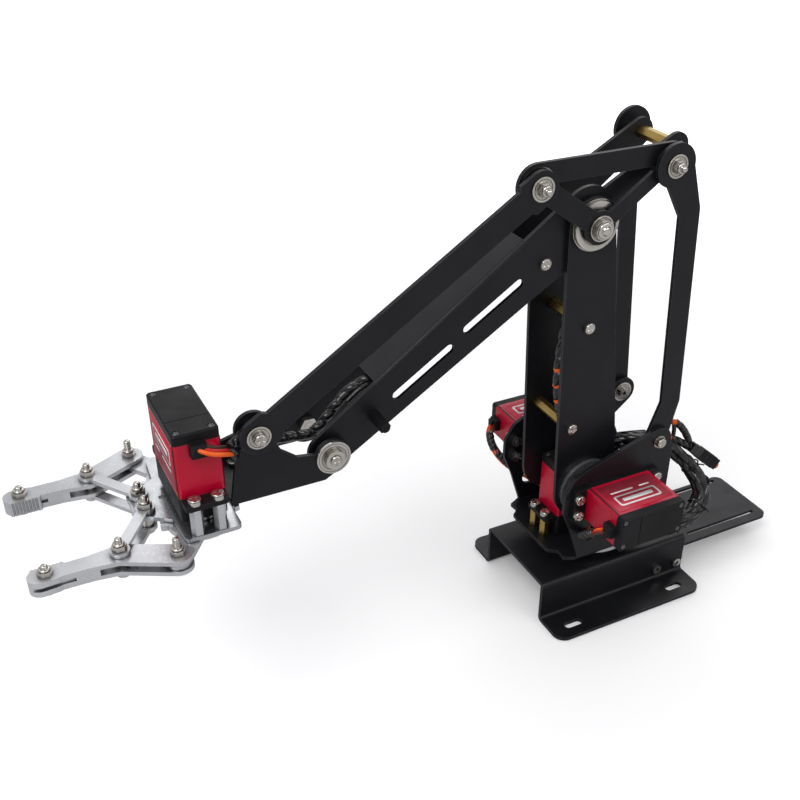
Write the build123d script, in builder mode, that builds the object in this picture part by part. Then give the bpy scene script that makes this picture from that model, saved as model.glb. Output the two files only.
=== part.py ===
from build123d import *
import os
import math

os.makedirs("parts", exist_ok=True)

# ---------------------------------------------------------------- dimensions
# Frame: millimetres, +X forward (towards the gripper), +Y to the arm's left,
# +Z up.  Origin: on the ground, at the yaw axis and the centre of the base.
T = 2.0                      # sheet thickness of every bent or cut plate
YC = 2.0                     # mid-plane of the arm, set over for the crank side

# pivots, in the X-Z plane
SX, SZ = 20.0, 77.5          # shoulder axis
LEAN, L1 = math.radians(4.6), 150.7
EX, EZ = SX + L1 * math.sin(LEAN), SZ + L1 * math.cos(LEAN)      # elbow
DIP, L2, LR = math.radians(33.1), 159.6, 53.8
WX, WZ = EX + L2 * math.cos(DIP), EZ - L2 * math.sin(DIP)        # wrist
RX, RZ = EX - LR * math.cos(DIP), EZ + LR * math.sin(DIP)        # forearm tail
CX, CZ = SX - LR * math.cos(DIP), SZ + LR * math.sin(DIP)        # crank pin
TX, TZ = 36.0, 25.0          # half spread and height of the rocker's ears
T1X, T1Z = EX + TX, EZ + TZ
T2X, T2Z = EX - TX, EZ + TZ
BX, BZ = SX - TX, SZ + TZ    # lower pivot of the rear link
W1X, W1Z = WX + TX, WZ + TZ  # upper wrist pivot

# layers across the arm (Y of each face)
FA = (12.3, 14.3)            # forearm cheeks, from YC
LA = (14.6, 16.6)            # lower arm plates, from YC
HB = (17.0, 19.0)            # hand bracket cheeks, from YC
LA_N, LA_F = (YC + LA[0], YC + LA[1]), (YC - LA[1], YC - LA[0])
FA_N, FA_F = (YC + FA[0], YC + FA[1]), (YC - FA[1], YC - FA[0])
HB_N, HB_F = (YC + HB[0], YC + HB[1]), (YC - HB[1], YC - HB[0])
EAR = (29.3, 31.3)           # turret ears, both sides of Y = 0
ELB = (18.8, 22.3)           # elbow bearing
ROC = (22.5, 24.5)           # rocker plate
LNK = (26.8, 28.8)           # upper and rear links
CRK = (-16.9, -14.9)         # crank plate
DRV = (-19.2, -17.2)         # drive link

# fasteners
M3, M3H = 1.5, 1.55          # shank and bore radius
PIN, PINH = 1.5, 1.56        # pivot shank and running bore radius
PIN2, PIN2H = 2.5, 2.56      # large pivots (elbow, wrist)

# base
BASE_L, BASE_HW, BASE_FW, BASE_H = 99.0, 29.3, 49.5, 26.3
SLOT_X, SLOT_Y, SLOT_L, SLOT_W = 35.0, 41.0, 11.0, 4.5
TRAY_END, TRAY_HW, TRAY_Z = -121.0, 23.4, 13.9

# turret
PL_Z = 40.0                  # top of the turret plate
PL_HX0, PL_HX1 = -26.0, 41.0

# servo: body 40 x 20, output shaft 10 from one end
SV_L, SV_W, SV_S = 40.0, 20.0, 10.0
SV_NOSE, SV_FL, SV_MID, SV_CAP = 9.5, 2.5, 26.0, 5.0
SV_EAR = 7.25                # flange past each end of the body
SV_HX, SV_HY = 24.75, 5.0    # flange holes, from the body centre

# gripper
GX = WX + 62.0               # axis line of the geared levers
ZP = 129.0                   # top of the gripper plate
PG = 16.4                    # pitch radius of the geared levers
LVX, LVY = 16.7, 24.3        # lever: gear axis to finger pivot
IX, IY = WX + 83.0, 5.7      # idler pivots
GS = 12.8                    # gripper servo standoff length


def side(y):
    """Sketch plane at Y = y: local x is +X, local y is +Z, extrudes to -Y."""
    return Plane.XZ.offset(-y)


def level(z):
    return Plane.XY.offset(z)


def disc_y(x, z, y0, y1, r, mode=Mode.ADD):
    """Round bar along Y from y0 to y1."""
    with BuildSketch(side(max(y0, y1))) as sk:
        with Locations((x, z)):
            Circle(r)
    extrude(sk.sketch, amount=abs(y1 - y0), mode=mode)


def disc_z(x, y, z0, z1, r, mode=Mode.ADD):
    with BuildSketch(level(min(z0, z1))) as sk:
        with Locations((x, y)):
            Circle(r)
    extrude(sk.sketch, amount=abs(z1 - z0), mode=mode)


def groove_y(x, z, y0, y1, r0, r1):
    """Ring-shaped groove round an axis along Y."""
    with BuildSketch(side(max(y0, y1))) as sk:
        with Locations((x, z)):
            Circle(r1)
            Circle(r0, mode=Mode.SUBTRACT)
    extrude(sk.sketch, amount=abs(y1 - y0), mode=Mode.SUBTRACT)


def hex_y(x, z, y0, y1, af, mode=Mode.ADD):
    with BuildSketch(side(max(y0, y1))) as sk:
        with Locations((x, z)):
            RegularPolygon(af / 2, 6, major_radius=False)
    extrude(sk.sketch, amount=abs(y1 - y0), mode=mode)


def hex_z(x, y, z0, z1, af, mode=Mode.ADD):
    with BuildSketch(level(min(z0, z1))) as sk:
        with Locations((x, y)):
            RegularPolygon(af / 2, 6, major_radius=False)
    extrude(sk.sketch, amount=abs(z1 - z0), mode=mode)


def screw(p, d, shank, length, head_r, head_h, socket=0.0):
    """Cap screw: p is the face under the head, d points out of the head."""
    with BuildSketch(Plane(origin=p, z_dir=d)) as head:
        Circle(head_r)
    extrude(head.sketch, amount=head_h)
    with BuildSketch(Plane(origin=p, z_dir=d)) as body:
        Circle(shank)
    extrude(body.sketch, amount=-length)
    if socket:
        q = tuple(p[i] + d[i] * head_h for i in range(3))
        with BuildSketch(Plane(origin=q, z_dir=d)) as key:
            RegularPolygon(socket / 2, 6, major_radius=False)
        extrude(key.sketch, amount=-head_h * 0.6, mode=Mode.SUBTRACT)


def blob(*pts):
    """Convex outline round a row of circles (x, y, r), in the active sketch."""
    for x, y, r in pts:
        with Locations((x, y)):
            Circle(r)
    make_hull()


def holes(*pts):
    for x, y, r in pts:
        with Locations((x, y)):
            Circle(r, mode=Mode.SUBTRACT)


def save(builder, name, rgb):
    builder.part.label = name
    builder.part.color = Color(*rgb)
    export_step(builder.part, f"parts/{name}.step")


BLACK, RED, CAP = (0.05, 0.05, 0.06), (0.6, 0.02, 0.12), (0.09, 0.09, 0.1)
ALU, STEEL, BRASS = (0.75, 0.75, 0.77), (0.7, 0.7, 0.7), (0.78, 0.6, 0.25)

# ============================================================ base
with BuildPart() as base_bracket:
    prof = [(-BASE_FW, 0), (-BASE_HW + 0, 0), (-BASE_HW + T, 0), (-BASE_HW + T, BASE_H - T),
            (BASE_HW - T, BASE_H - T), (BASE_HW - T, 0), (BASE_FW, 0), (BASE_FW, T), (BASE_HW, T),
            (BASE_HW, BASE_H), (-BASE_HW, BASE_H), (-BASE_HW, T), (-BASE_FW, T)]
    with BuildSketch(Plane.YZ.offset(-BASE_L / 2)):
        with BuildLine():
            Polyline(*prof, close=True)
        make_face()
    extrude(amount=BASE_L)
    long_edges = base_bracket.edges().filter_by(Axis.X)
    top_out = [e for e in long_edges if abs(e.center().Z - BASE_H) < 0.01]
    fillet(top_out, 3.0)
    long_edges = base_bracket.edges().filter_by(Axis.X)
    inner = [e for e in long_edges if abs(abs(e.center().Y) - BASE_HW) < 0.01 and abs(e.center().Z - T) < 0.01]
    fillet(inner, 2.0)
    long_edges = base_bracket.edges().filter_by(Axis.X)
    low = [e for e in long_edges if abs(abs(e.center().Y) - (BASE_HW - T)) < 0.01 and abs(e.center().Z) < 0.01]
    fillet(low, 3.0)
    corners = [e for e in base_bracket.edges().filter_by(Axis.Z)
               if abs(abs(e.center().Y) - BASE_FW) < 0.01]
    fillet(corners, 7.0)
    with BuildSketch(level(-1)):
        with GridLocations(2 * SLOT_X, 2 * SLOT_Y, 2, 2):
            SlotOverall(SLOT_L, SLOT_W)
    extrude(amount=T + 2, mode=Mode.SUBTRACT)
    with BuildSketch(level(BASE_H - T - 1)):
        Circle(5.0)
        with PolarLocations(13.5, 4, start_angle=45):
            Circle(M3H)
    extrude(amount=T + 2, mode=Mode.SUBTRACT)
    # screws that hold the tray's tabs, through both walls
    for x in (-30.4, -44.8):
        disc_y(x, 8.5, -BASE_HW - 1, BASE_HW + 1, M3H, Mode.SUBTRACT)
save(base_bracket, "base_bracket", BLACK)

with BuildPart() as cable_tray:
    with BuildSketch(level(TRAY_Z - T)):
        with BuildLine():
            Polyline((TRAY_END, -TRAY_HW), (-50.5, -TRAY_HW), (-48.5, -27.1), (-24.0, -27.1),
                     (-24.0, 27.1), (-48.5, 27.1), (-50.5, TRAY_HW), (TRAY_END, TRAY_HW), close=True)
        make_face()
    extrude(amount=T)
    fillet([e for e in cable_tray.edges().filter_by(Axis.Z) if abs(e.center().X - TRAY_END) < 0.01], 5.0)
    with BuildSketch(level(4.0)):
        with Locations((-36.25, 26.1), (-36.25, -26.1)):
            Rectangle(24.5, T)
    extrude(amount=TRAY_Z - T - 4.0 + 0.5)
    with BuildSketch(level(TRAY_Z - T - 1)):
        with Locations((-89.0, 16.6), (-89.0, -20.0)):
            SlotOverall(52.0, 2.4)
        with Locations((-60.0, 0.0)):
            SlotOverall(14.0, 5.0)
    extrude(amount=T + 2, mode=Mode.SUBTRACT)
    for x in (-30.4, -44.8):
        disc_y(x, 8.5, -30, 30, M3H, Mode.SUBTRACT)
save(cable_tray, "cable_tray", BLACK)

# hub bolted to the top of the base; the yaw bearing's inner ring sits on it
HUB_TOP = 35.0
with BuildPart() as base_hub:
    with BuildSketch(level(BASE_H)):
        Circle(19.4)
        Circle(3.0, mode=Mode.SUBTRACT)
    extrude(amount=2.7)
    with BuildSketch(level(BASE_H + 2.7)):
        Circle(17.5)
        Circle(3.0, mode=Mode.SUBTRACT)
    extrude(amount=HUB_TOP - BASE_H - 2.7)
    with BuildSketch(level(HUB_TOP - 5.0)):
        with PolarLocations(13.5, 4, start_angle=45):
            Circle(2.9)
    # screw heads sit in pockets beside the inner ring seat
    extrude(amount=6.0, mode=Mode.SUBTRACT)
    with BuildSketch(level(BASE_H - 1)):
        with PolarLocations(13.5, 4, start_angle=45):
            Circle(M3H)
    extrude(amount=6.0, mode=Mode.SUBTRACT)
    with BuildSketch(level(HUB_TOP - 6)):
        with PolarLocations(8.0, 4):
            Circle(1.0)
    extrude(amount=7.0, mode=Mode.SUBTRACT)
save(base_hub, "base_hub", ALU)

with BuildPart() as base_screws:
    for s in (1, -1):
        for x in (-30.4, -44.8):
            screw((x, s * BASE_HW, 8.5), (0, s, 0), M3, 7.0, 2.8, 1.7, 2.0)
            with BuildSketch(Plane(origin=(x, s * 25.05, 8.5), z_dir=(0, -s, 0))):
                RegularPolygon(2.75, 6, major_radius=False)
            extrude(amount=2.0)
    for k in range(4):
        a = math.radians(45 + 90 * k)
        x, y = 13.5 * math.cos(a), 13.5 * math.sin(a)
        screw((x, y, HUB_TOP - 5.0), (0, 0, 1), M3, 8.0, 2.7, 2.4, 2.0)
        hex_z(x, y, BASE_H - T - 2.45, BASE_H - T - 0.05, 5.5)
save(base_screws, "base_screws", STEEL)

BRG_Z0, BRG_Z1 = 29.2, 36.2
with BuildPart() as yaw_bearing_inner:
    with BuildSketch(level(BRG_Z0)):
        Circle(19.6)
        Circle(17.52, mode=Mode.SUBTRACT)
    extrude(amount=BRG_Z1 - BRG_Z0)
    torus_y = (BRG_Z0 + BRG_Z1) / 2
    with BuildSketch(Plane.XZ):
        with Locations((20.6, torus_y)):
            Circle(1.78)
    revolve(axis=Axis.Z, mode=Mode.SUBTRACT)
save(yaw_bearing_inner, "yaw_bearing_inner", STEEL)

with BuildPart() as yaw_bearing_balls:
    for k in range(16):
        a = math.radians(22.5 * k)
        with BuildSketch(Plane(origin=(20.6 * math.cos(a), 20.6 * math.sin(a), torus_y), x_dir=(1, 0, 0), z_dir=(0, -1, 0))):
            with BuildLine():
                l1 = Line((0, -1.75), (0, 1.75))
                ThreePointArc(l1 @ 1, (1.75, 0), l1 @ 0)
            make_face()
        revolve(axis=Axis(origin=(20.6 * math.cos(a), 20.6 * math.sin(a), 0), direction=(0, 0, 1)))
save(yaw_bearing_balls, "yaw_bearing_balls", STEEL)

with BuildPart() as yaw_bearing_outer:
    with BuildSketch(level(BRG_Z0 + 0.6)):
        Circle(24.6)
        Circle(21.6, mode=Mode.SUBTRACT)
    extrude(amount=PL_Z - T - BRG_Z0 - 0.6)
    with BuildSketch(Plane.XZ):
        with Locations((20.6, torus_y)):
            Circle(1.78)
    revolve(axis=Axis.Z, mode=Mode.SUBTRACT)
    with BuildSketch(level(PL_Z - T - 4)):
        with PolarLocations(23.1, 4, start_angle=45):
            Circle(1.0)
    extrude(amount=5, mode=Mode.SUBTRACT)
save(yaw_bearing_outer, "yaw_bearing_outer", ALU)

# ============================================================ servos
# Each servo: mounting face (shaft side of the flange), long axis, outward axis.
YAW_FACE = 50.9
SERVOS = {
    "yaw": ((0, 0, YAW_FACE), (1, 0, 0), (0, 0, 1)),
    "left": ((SX, EAR[1], SZ), (-1, 0, 0), (0, 1, 0)),
    "right": ((SX, -EAR[1], SZ), (-1, 0, 0), (0, -1, 0)),
    "gripper": ((GX, YC + PG, ZP + GS), (0, -1, 0), (0, 0, 1)),
}
BC = SV_L / 2 - SV_S         # body centre from the shaft, along the long axis
for name, (org, u, n) in SERVOS.items():
    face = Plane(origin=org, x_dir=u, z_dir=n)
    with BuildPart() as gearbox:
        with BuildSketch(face.offset(-SV_NOSE)):
            with Locations((BC, 0)):
                RectangleRounded(SV_L, SV_W, 1.6)
        extrude(amount=SV_NOSE + SV_FL)
        with BuildSketch(face):
            with Locations((BC, 0)):
                RectangleRounded(SV_L + 2 * SV_EAR, SV_W - 1.0, 2.0)
        extrude(amount=SV_FL)
        with BuildSketch(face.offset(-SV_NOSE + 1.5)):
            with Locations((BC, 0)):
                RectangleRounded(SV_L - 3, SV_W - 3, 1.0)
        extrude(amount=SV_NOSE + SV_FL, mode=Mode.SUBTRACT)
        with BuildSketch(face.offset(-SV_NOSE - 1)):
            Circle(3.01)
        extrude(amount=4, mode=Mode.SUBTRACT)
        with BuildSketch(face.offset(-1)):
            with Locations((BC, 0)):
                with GridLocations(2 * SV_HX, 2 * SV_HY, 2, 2):
                    Circle(M3H + 0.25)
        extrude(amount=SV_FL + 2, mode=Mode.SUBTRACT)
    save(gearbox, f"{name}_servo_gearbox", CAP)

    with BuildPart() as case:
        with BuildSketch(face.offset(SV_FL)):
            with Locations((BC, 0)):
                RectangleRounded(SV_L, SV_W, 1.6)
                RectangleRounded(SV_L - 3, SV_W - 3, 1.0, mode=Mode.SUBTRACT)
        extrude(amount=SV_MID)
        with BuildSketch(face.offset(SV_FL + SV_MID - 6.0)):
            with Locations((-SV_S, 0)):
                Rectangle(6, 7.2)
        extrude(amount=7.0, mode=Mode.SUBTRACT)
    save(case, f"{name}_servo_case", RED)

    with BuildPart() as cover:
        with BuildSketch(face.offset(SV_FL + SV_MID)):
            with Locations((BC, 0)):
                RectangleRounded(SV_L, SV_W, 1.6)
        extrude(amount=SV_CAP)
        rim = cover.faces().sort_by(Axis((0, 0, 0), n))[-1]
        chamfer(rim.edges(), 0.7)
        with BuildSketch(face.offset(SV_FL + SV_MID)):
            with Locations((BC, 0)):
                RectangleRounded(SV_L - 3, SV_W - 3, 1.0)
        extrude(amount=SV_CAP - 1.6, mode=Mode.SUBTRACT)
        with BuildSketch(face.offset(SV_FL + SV_MID + SV_CAP - 0.7)):
            with Locations((BC, 0)):
                with GridLocations(SV_L - 5.2, SV_W - 5.2, 2, 2):
                    Circle(1.7)
            with Locations((BC - 8, 0)):
                Rectangle(0.5, SV_W - 1.0)
        extrude(amount=1.0, mode=Mode.SUBTRACT)
        # strain relief: a block in the case's notch
        with BuildSketch(face.offset(SV_FL + SV_MID - 5.8)):
            with Locations((-SV_S - 1.0, 0)):
                RectangleRounded(5.0, 7.0, 1.0)
        extrude(amount=5.8 + 0.5)
    save(cover, f"{name}_servo_cover", CAP)

with BuildPart() as servo_motors:
    for name in ("yaw", "left", "right"):
        org, u, n = SERVOS[name]
        face = Plane(origin=org, x_dir=u, z_dir=n)
        with BuildSketch(face.offset(SV_FL + 0.5)):
            with Locations((BC + 9, 0)):
                Circle(7.8)
        extrude(amount=23)
        with BuildSketch(face.offset(SV_FL - 3.0)):
            with Locations((BC + 9, 0)):
                Circle(1.4)
        extrude(amount=3.6)
save(servo_motors, "arm_servo_motors", STEEL)

with BuildPart() as servo_gears:
    for name in ("yaw", "left", "right"):
        org, u, n = SERVOS[name]
        face = Plane(origin=org, x_dir=u, z_dir=n)
        for bx, z0, h, r in ((BC + 1.2, -1.6, 1.6, 5.2), (BC + 1.2, -3.6, 2.0, 2.2)):
            with BuildSketch(face.offset(z0)):
                with Locations((bx, 0)):
                    Circle(r)
            extrude(amount=h)
save(servo_gears, "arm_servo_gears", BRASS)

with BuildPart() as gripper_servo_works:
    org, u, n = SERVOS["gripper"]
    face = Plane(origin=org, x_dir=u, z_dir=n)
    with BuildSketch(face.offset(SV_FL + 0.5)):
        with Locations((BC + 9, 0)):
            Circle(7.8)
    extrude(amount=23)
    for bx, z0, h, r in ((BC + 1.2, -1.6, 1.6, 5.2), (BC + 1.2, -3.6, 2.0, 2.2)):
        with BuildSketch(face.offset(z0)):
            with Locations((bx, 0)):
                Circle(r)
        extrude(amount=h)
save(gripper_servo_works, "gripper_servo_works", STEEL)

# horn and output shaft of each servo, on the body that the servo drives
def shaft_and_horn(face, z0, disc_t, r_disc, hub_r, hub_t):
    """Disc with its back face at local -z0, hub towards the servo, and the
    splined shaft with its output gear inside the gearbox."""
    with BuildSketch(face.offset(-z0)) as a:
        Circle(r_disc)
        with PolarLocations(8.0, 4):
            Circle(1.0, mode=Mode.SUBTRACT)
    extrude(a.sketch, amount=disc_t)
    with BuildSketch(face.offset(-z0 + disc_t)) as b:
        Circle(hub_r)
    extrude(b.sketch, amount=hub_t)
    with BuildSketch(face.offset(-z0 + 0.8)) as c:
        Circle(2.95)
    extrude(c.sketch, amount=z0 - 0.8 - 2.0)
    with BuildSketch(face.offset(-6.9)) as d:
        Circle(7.6)
    extrude(d.sketch, amount=2.8)


yaw_face = Plane(origin=SERVOS["yaw"][0], x_dir=(1, 0, 0), z_dir=(0, 0, 1))
with BuildPart() as yaw_horn:
    shaft_and_horn(yaw_face, YAW_FACE - HUB_TOP - 0.02, 2.4, 12.3, 4.6, 2.8)
save(yaw_horn, "yaw_horn_and_shaft", ALU)

left_face = Plane(origin=SERVOS["left"][0], x_dir=(-1, 0, 0), z_dir=(0, 1, 0))
with BuildPart() as shoulder_horn:
    shaft_and_horn(left_face, EAR[1] - LA_N[1] - 0.02, 2.2, 16.5, 4.6, 0.5)
save(shoulder_horn, "shoulder_horn_and_shaft", ALU)

right_face = Plane(origin=SERVOS["right"][0], x_dir=(-1, 0, 0), z_dir=(0, -1, 0))
with BuildPart() as elbow_horn:
    shaft_and_horn(right_face, EAR[1] + CRK[0] - 0.02, 2.4, 15.0, 4.6, 2.0)
save(elbow_horn, "elbow_horn_and_shaft", ALU)

# ============================================================ turret
with BuildPart() as turret_bracket:
    with BuildSketch(level(PL_Z - T)):
        with BuildLine():
            Polyline((PL_HX0, -EAR[1]), (29, -EAR[1]), (36.5, -27.5), (36.0, -21.5), (40.5, -18.0),
                     (PL_HX1, -14.0), (PL_HX1, 14.0), (40.5, 18.0), (36.0, 21.5), (36.5, 27.5),
                     (29, EAR[1]), (PL_HX0, EAR[1]), close=True)
        make_face()
    extrude(amount=T)
    for s in (1, -1):
        with BuildSketch(side(EAR[1] if s > 0 else -EAR[0])):
            with BuildLine():
                Polyline((PL_HX0, PL_Z - T), (29.0, PL_Z - T), (36.4, 60.6), (41.8, 73.0), (41.8, 84.0),
                         (36.6, 93.0), (27.7, 97.8), (BX + 2.2, BZ + 7.7), (BX - 6.0, BZ + 5.3),
                         (PL_HX0, BZ - 6.0), close=True)
            make_face()
            with Locations((BX, BZ)):
                Circle(8.0)
        extrude(amount=T)
    bend = [e for e in turret_bracket.edges().filter_by(Axis.X)
            if abs(abs(e.center().Y) - EAR[1]) < 0.01 and abs(e.center().Z - (PL_Z - T)) < 0.01]
    fillet(bend, 1.8)
    rim = [e for e in turret_bracket.edges().filter_by(Axis.Y)
           if abs(e.length - T) < 0.01 and e.center().X > 35 and e.center().Z > 60]
    fillet(rim, 4.0)
    for s in (1, -1):
        with BuildSketch(side(s * EAR[0] + (3 if s > 0 else 1))):
            with Locations((SX - BC, SZ)):
                RectangleRounded(SV_L + 0.8, SV_W + 0.8, 1.8)
                with GridLocations(2 * SV_HX, 2 * SV_HY, 2, 2):
                    Circle(M3H)
            with Locations((23.5, 54.8)):
                Circle(5.0)
            if s > 0:
                with Locations((BX, BZ)):
                    Circle(M3H)
        extrude(amount=4, mode=Mode.SUBTRACT)
    with BuildSketch(level(PL_Z - T - 1)):
        Circle(6.5)
        with Locations((BC, 0)):
            with GridLocations(2 * SV_HX, 2 * SV_HY, 2, 2):
                Circle(M3H)
        with PolarLocations(23.1, 4, start_angle=45):
            Circle(1.05)
        with Locations((27.0, 8.0)):
            Circle(1.2)
    extrude(amount=T + 2, mode=Mode.SUBTRACT)
save(turret_bracket, "turret_bracket", BLACK)

with BuildPart() as yaw_standoffs:
    for x in (BC - SV_HX, BC + SV_HX):
        for y in (-SV_HY, SV_HY):
            hex_z(x, y, PL_Z, YAW_FACE, 5.0)
            disc_z(x, y, PL_Z - T, PL_Z, M3)
save(yaw_standoffs, "yaw_standoffs", BRASS)

with BuildPart() as turret_screws:
    for x in (BC - SV_HX, BC + SV_HX):
        for y in (-SV_HY, SV_HY):
            screw((x, y, YAW_FACE + SV_FL), (0, 0, 1), M3, SV_FL, 2.9, 1.9, 2.0)
    for s in (1, -1):
        for x in (SX - BC - SV_HX, SX - BC + SV_HX):
            for z in (SZ - SV_HY, SZ + SV_HY):
                screw((x, s * (EAR[1] + SV_FL), z), (0, s, 0), M3, SV_FL + T + 2.6, 2.9, 1.9, 2.0)
                with BuildSketch(Plane(origin=(x, s * EAR[0], z), z_dir=(0, -s, 0))):
                    RegularPolygon(2.75, 6, major_radius=False)
                extrude(amount=2.3)
    # pivot bolt of the rear link, with its washer and lock nut
    screw((BX, EAR[1] + 0.6, BZ), (0, 1, 0), PIN, EAR[1] + 0.6 - 23.2, 2.9, 1.9, 2.0)
    disc_y(BX, BZ, EAR[1], EAR[1] + 0.6, 3.6)
    hex_y(BX, BZ, 24.0, 26.6, 5.5)
save(turret_screws, "turret_screws", STEEL)

# ============================================================ lower arm
AX, AZ = math.cos(LEAN), math.sin(LEAN)


def arm(p, q):
    """Point p across (forward) and q along the lower arm, from the shoulder."""
    return SX + p * AX + q * AZ, SZ - p * AZ + q * AX


STAND = [arm(10.2, 41.0), arm(1.2, 97.1)]
with BuildPart() as lower_arm_near_plate:
    with BuildSketch(side(LA_N[1])):
        blob((SX, SZ, 19.3), (EX, EZ, 13.0))
        holes((EX, EZ, PIN2H), (SX, SZ, 3.0), *[(x, z, M3H) for x, z in STAND])
        with Locations((SX, SZ)):
            with PolarLocations(8.0, 4):
                Circle(1.05, mode=Mode.SUBTRACT)
    extrude(amount=T)
save(lower_arm_near_plate, "lower_arm_near_plate", BLACK)

with BuildPart() as lower_arm_far_plate:
    with BuildSketch(side(LA_F[1])):
        blob((SX, SZ, 19.3), (EX, EZ, 13.0))
        holes((EX, EZ, PIN2H), (SX, SZ, 4.06), *[(x, z, M3H) for x, z in STAND])
    extrude(amount=T)
save(lower_arm_far_plate, "lower_arm_far_plate", BLACK)

with BuildPart() as lower_arm_standoffs:
    for x, z in STAND:
        hex_y(x, z, LA_F[1] + 0.0, LA_N[0], 5.5)
save(lower_arm_standoffs, "lower_arm_standoffs", BRASS)

with BuildPart() as lower_arm_screws:
    for x, z in STAND:
        screw((x, LA_N[1], z), (0, 1, 0), M3, T, 2.9, 1.9, 2.0)
        screw((x, LA_F[0], z), (0, -1, 0), M3, T, 2.9, 1.9, 2.0)
    # the elbow axle bolt, its washer and lock nut
    screw((EX, 25.6, EZ), (0, 1, 0), PIN2, 25.6 + 18.6, 4.6, 2.6, 3.0)
    disc_y(EX, EZ, 24.65, 25.6, 6.2)
    hex_y(EX, EZ, -18.4, LA_F[0] - 0.1, 8.0)
    groove_y(EX, EZ, 25.2, 25.7, 5.1, 5.5)
save(lower_arm_screws, "lower_arm_screws", STEEL)

with BuildPart() as elbow_bearing:
    disc_y(EX, EZ, LA_N[1], 20.6, 12.6)
    disc_y(EX, EZ, 20.6, 22.0, 11.8)
    disc_y(EX, EZ, 22.0, 22.3, 6.0)
    disc_y(EX, EZ, LA_N[1] - 1, 23, PIN2H, Mode.SUBTRACT)
    for y in (19.2, 20.0, 20.8, 21.5):
        groove_y(EX, EZ, y, y + 0.3, 11.3, 13.0)
    groove_y(EX, EZ, 21.7, 22.4, 8.6, 9.1)
save(elbow_bearing, "elbow_bearing", STEEL)

# ============================================================ rocker
with BuildPart() as rocker_plate:
    for bar in (((T1X, T1Z + 5.0, 5.0), (T2X, T2Z + 5.0, 5.0)), ((EX, EZ, 3.6), (T2X, T2Z, 3.6)),
                ((EX, EZ, 5.0), (T1X, T1Z, 5.0))):
        with BuildSketch(side(ROC[1])):
            blob(*bar)
        extrude(amount=T)
    with BuildSketch(side(ROC[1])):
        with Locations((EX, EZ)):
            Circle(8.2)
        with Locations((T1X, T1Z), (T2X, T2Z)):
            Circle(10.0)
    extrude(amount=T)
    with BuildSketch(side(ROC[1] + 1)):
        with Locations((EX, EZ)):
            Circle(PIN2H)
        with Locations((T1X, T1Z), (T2X, T2Z)):
            Circle(M3H)
    extrude(amount=T + 2, mode=Mode.SUBTRACT)
save(rocker_plate, "rocker_plate", BLACK)

with BuildPart() as rocker_pivots:
    for x, z in ((T1X, T1Z), (T2X, T2Z)):
        disc_y(x, z, 20.4, ROC[0], 2.9)
        disc_y(x, z, ROC[0], 34.2, PIN)
        disc_y(x, z, ROC[1], 25.6, 8.6)
        disc_y(x, z, 25.6, 26.6, 5.0)
        disc_y(x, z, 28.95, 29.5, 5.6)
        groove_y(x, z, 29.2, 29.6, 4.3, 4.7)
        for y in (24.9, 25.3):
            groove_y(x, z, y, y + 0.25, 8.0, 9.0)
        hex_y(x, z, 29.5, 32.0, 5.5)
save(rocker_pivots, "rocker_pivots", STEEL)

# ============================================================ rear link
with BuildPart() as rear_link:
    with BuildSketch(side(LNK[1])):
        with Locations((T2X, T2Z)):
            Circle(10.6)
    extrude(amount=T)
    with BuildSketch(side(LNK[1])):
        blob((T2X - 2.0, T2Z - 2.0, 8.5), (-15.5, EZ + 1.5, 6.0))
    extrude(amount=T)
    with BuildSketch(side(LNK[1])):
        blob((-15.5, EZ + 1.5, 6.0), (-22.0, 124.0, 6.0))
    extrude(amount=T)
    with BuildSketch(side(LNK[1])):
        blob((-22.0, 124.0, 6.0), (BX, BZ, 7.4))
    extrude(amount=T)
    disc_y(T2X, T2Z, 20, 32, 1.9, Mode.SUBTRACT)
    disc_y(BX, BZ, 20, 32, PINH, Mode.SUBTRACT)
save(rear_link, "rear_link", BLACK)

# ============================================================ upper link
with BuildPart() as upper_link:
    with BuildSketch(side(LNK[1])):
        blob((T1X, T1Z, 8.2), (W1X, W1Z, 8.2))
        with Locations((T1X, T1Z)):
            Circle(PINH, mode=Mode.SUBTRACT)
        with Locations((W1X, W1Z)):
            Circle(1.9, mode=Mode.SUBTRACT)
    extrude(amount=T)
    # the bar is slimmer than its two eyes
    d = (W1X - T1X, W1Z - T1Z)
    ln = math.hypot(*d)
    dx, dz = d[0] / ln, d[1] / ln
    for s in (1, -1):
        with BuildSketch(side(LNK[1] + 1)):
            with BuildLine():
                p = [(T1X + dx * 9.5 - s * dz * 6.2, T1Z + dz * 9.5 + s * dx * 6.2),
                     (W1X - dx * 9.5 - s * dz * 6.2, W1Z - dz * 9.5 + s * dx * 6.2),
                     (W1X - dx * 4.5 - s * dz * 12, W1Z - dz * 4.5 + s * dx * 12),
                     (T1X + dx * 4.5 - s * dz * 12, T1Z + dz * 4.5 + s * dx * 12)]
                Polyline(*p, close=True)
            make_face()
        extrude(amount=T + 2, mode=Mode.SUBTRACT)
save(upper_link, "upper_link", BLACK)

# ============================================================ crank, drive link
with BuildPart() as crank_plate:
    with BuildSketch(side(CRK[1])):
        blob((SX, SZ, 14.0), (CX, CZ, 8.4))
    extrude(amount=T)
    disc_y(SX, SZ, CRK[0], -12.2, 4.0)
    disc_y(SX, SZ, -20, -10, 1.3, Mode.SUBTRACT)
    disc_y(CX, CZ, -20, -10, PINH, Mode.SUBTRACT)
save(crank_plate, "crank_plate", BLACK)

with BuildPart() as crank_pin:
    screw((CX, CRK[1] + 0.7, CZ), (0, 1, 0), PIN, 7.9, 2.9, 1.7, 2.0)
    disc_y(CX, CZ, CRK[1], CRK[1] + 0.7, 5.8)
    groove_y(CX, CZ, CRK[1] + 0.45, CRK[1] + 0.8, 4.3, 4.7)
    hex_y(CX, CZ, -21.8, DRV[0] - 0.1, 5.5)
save(crank_pin, "crank_pin", STEEL)

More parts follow.
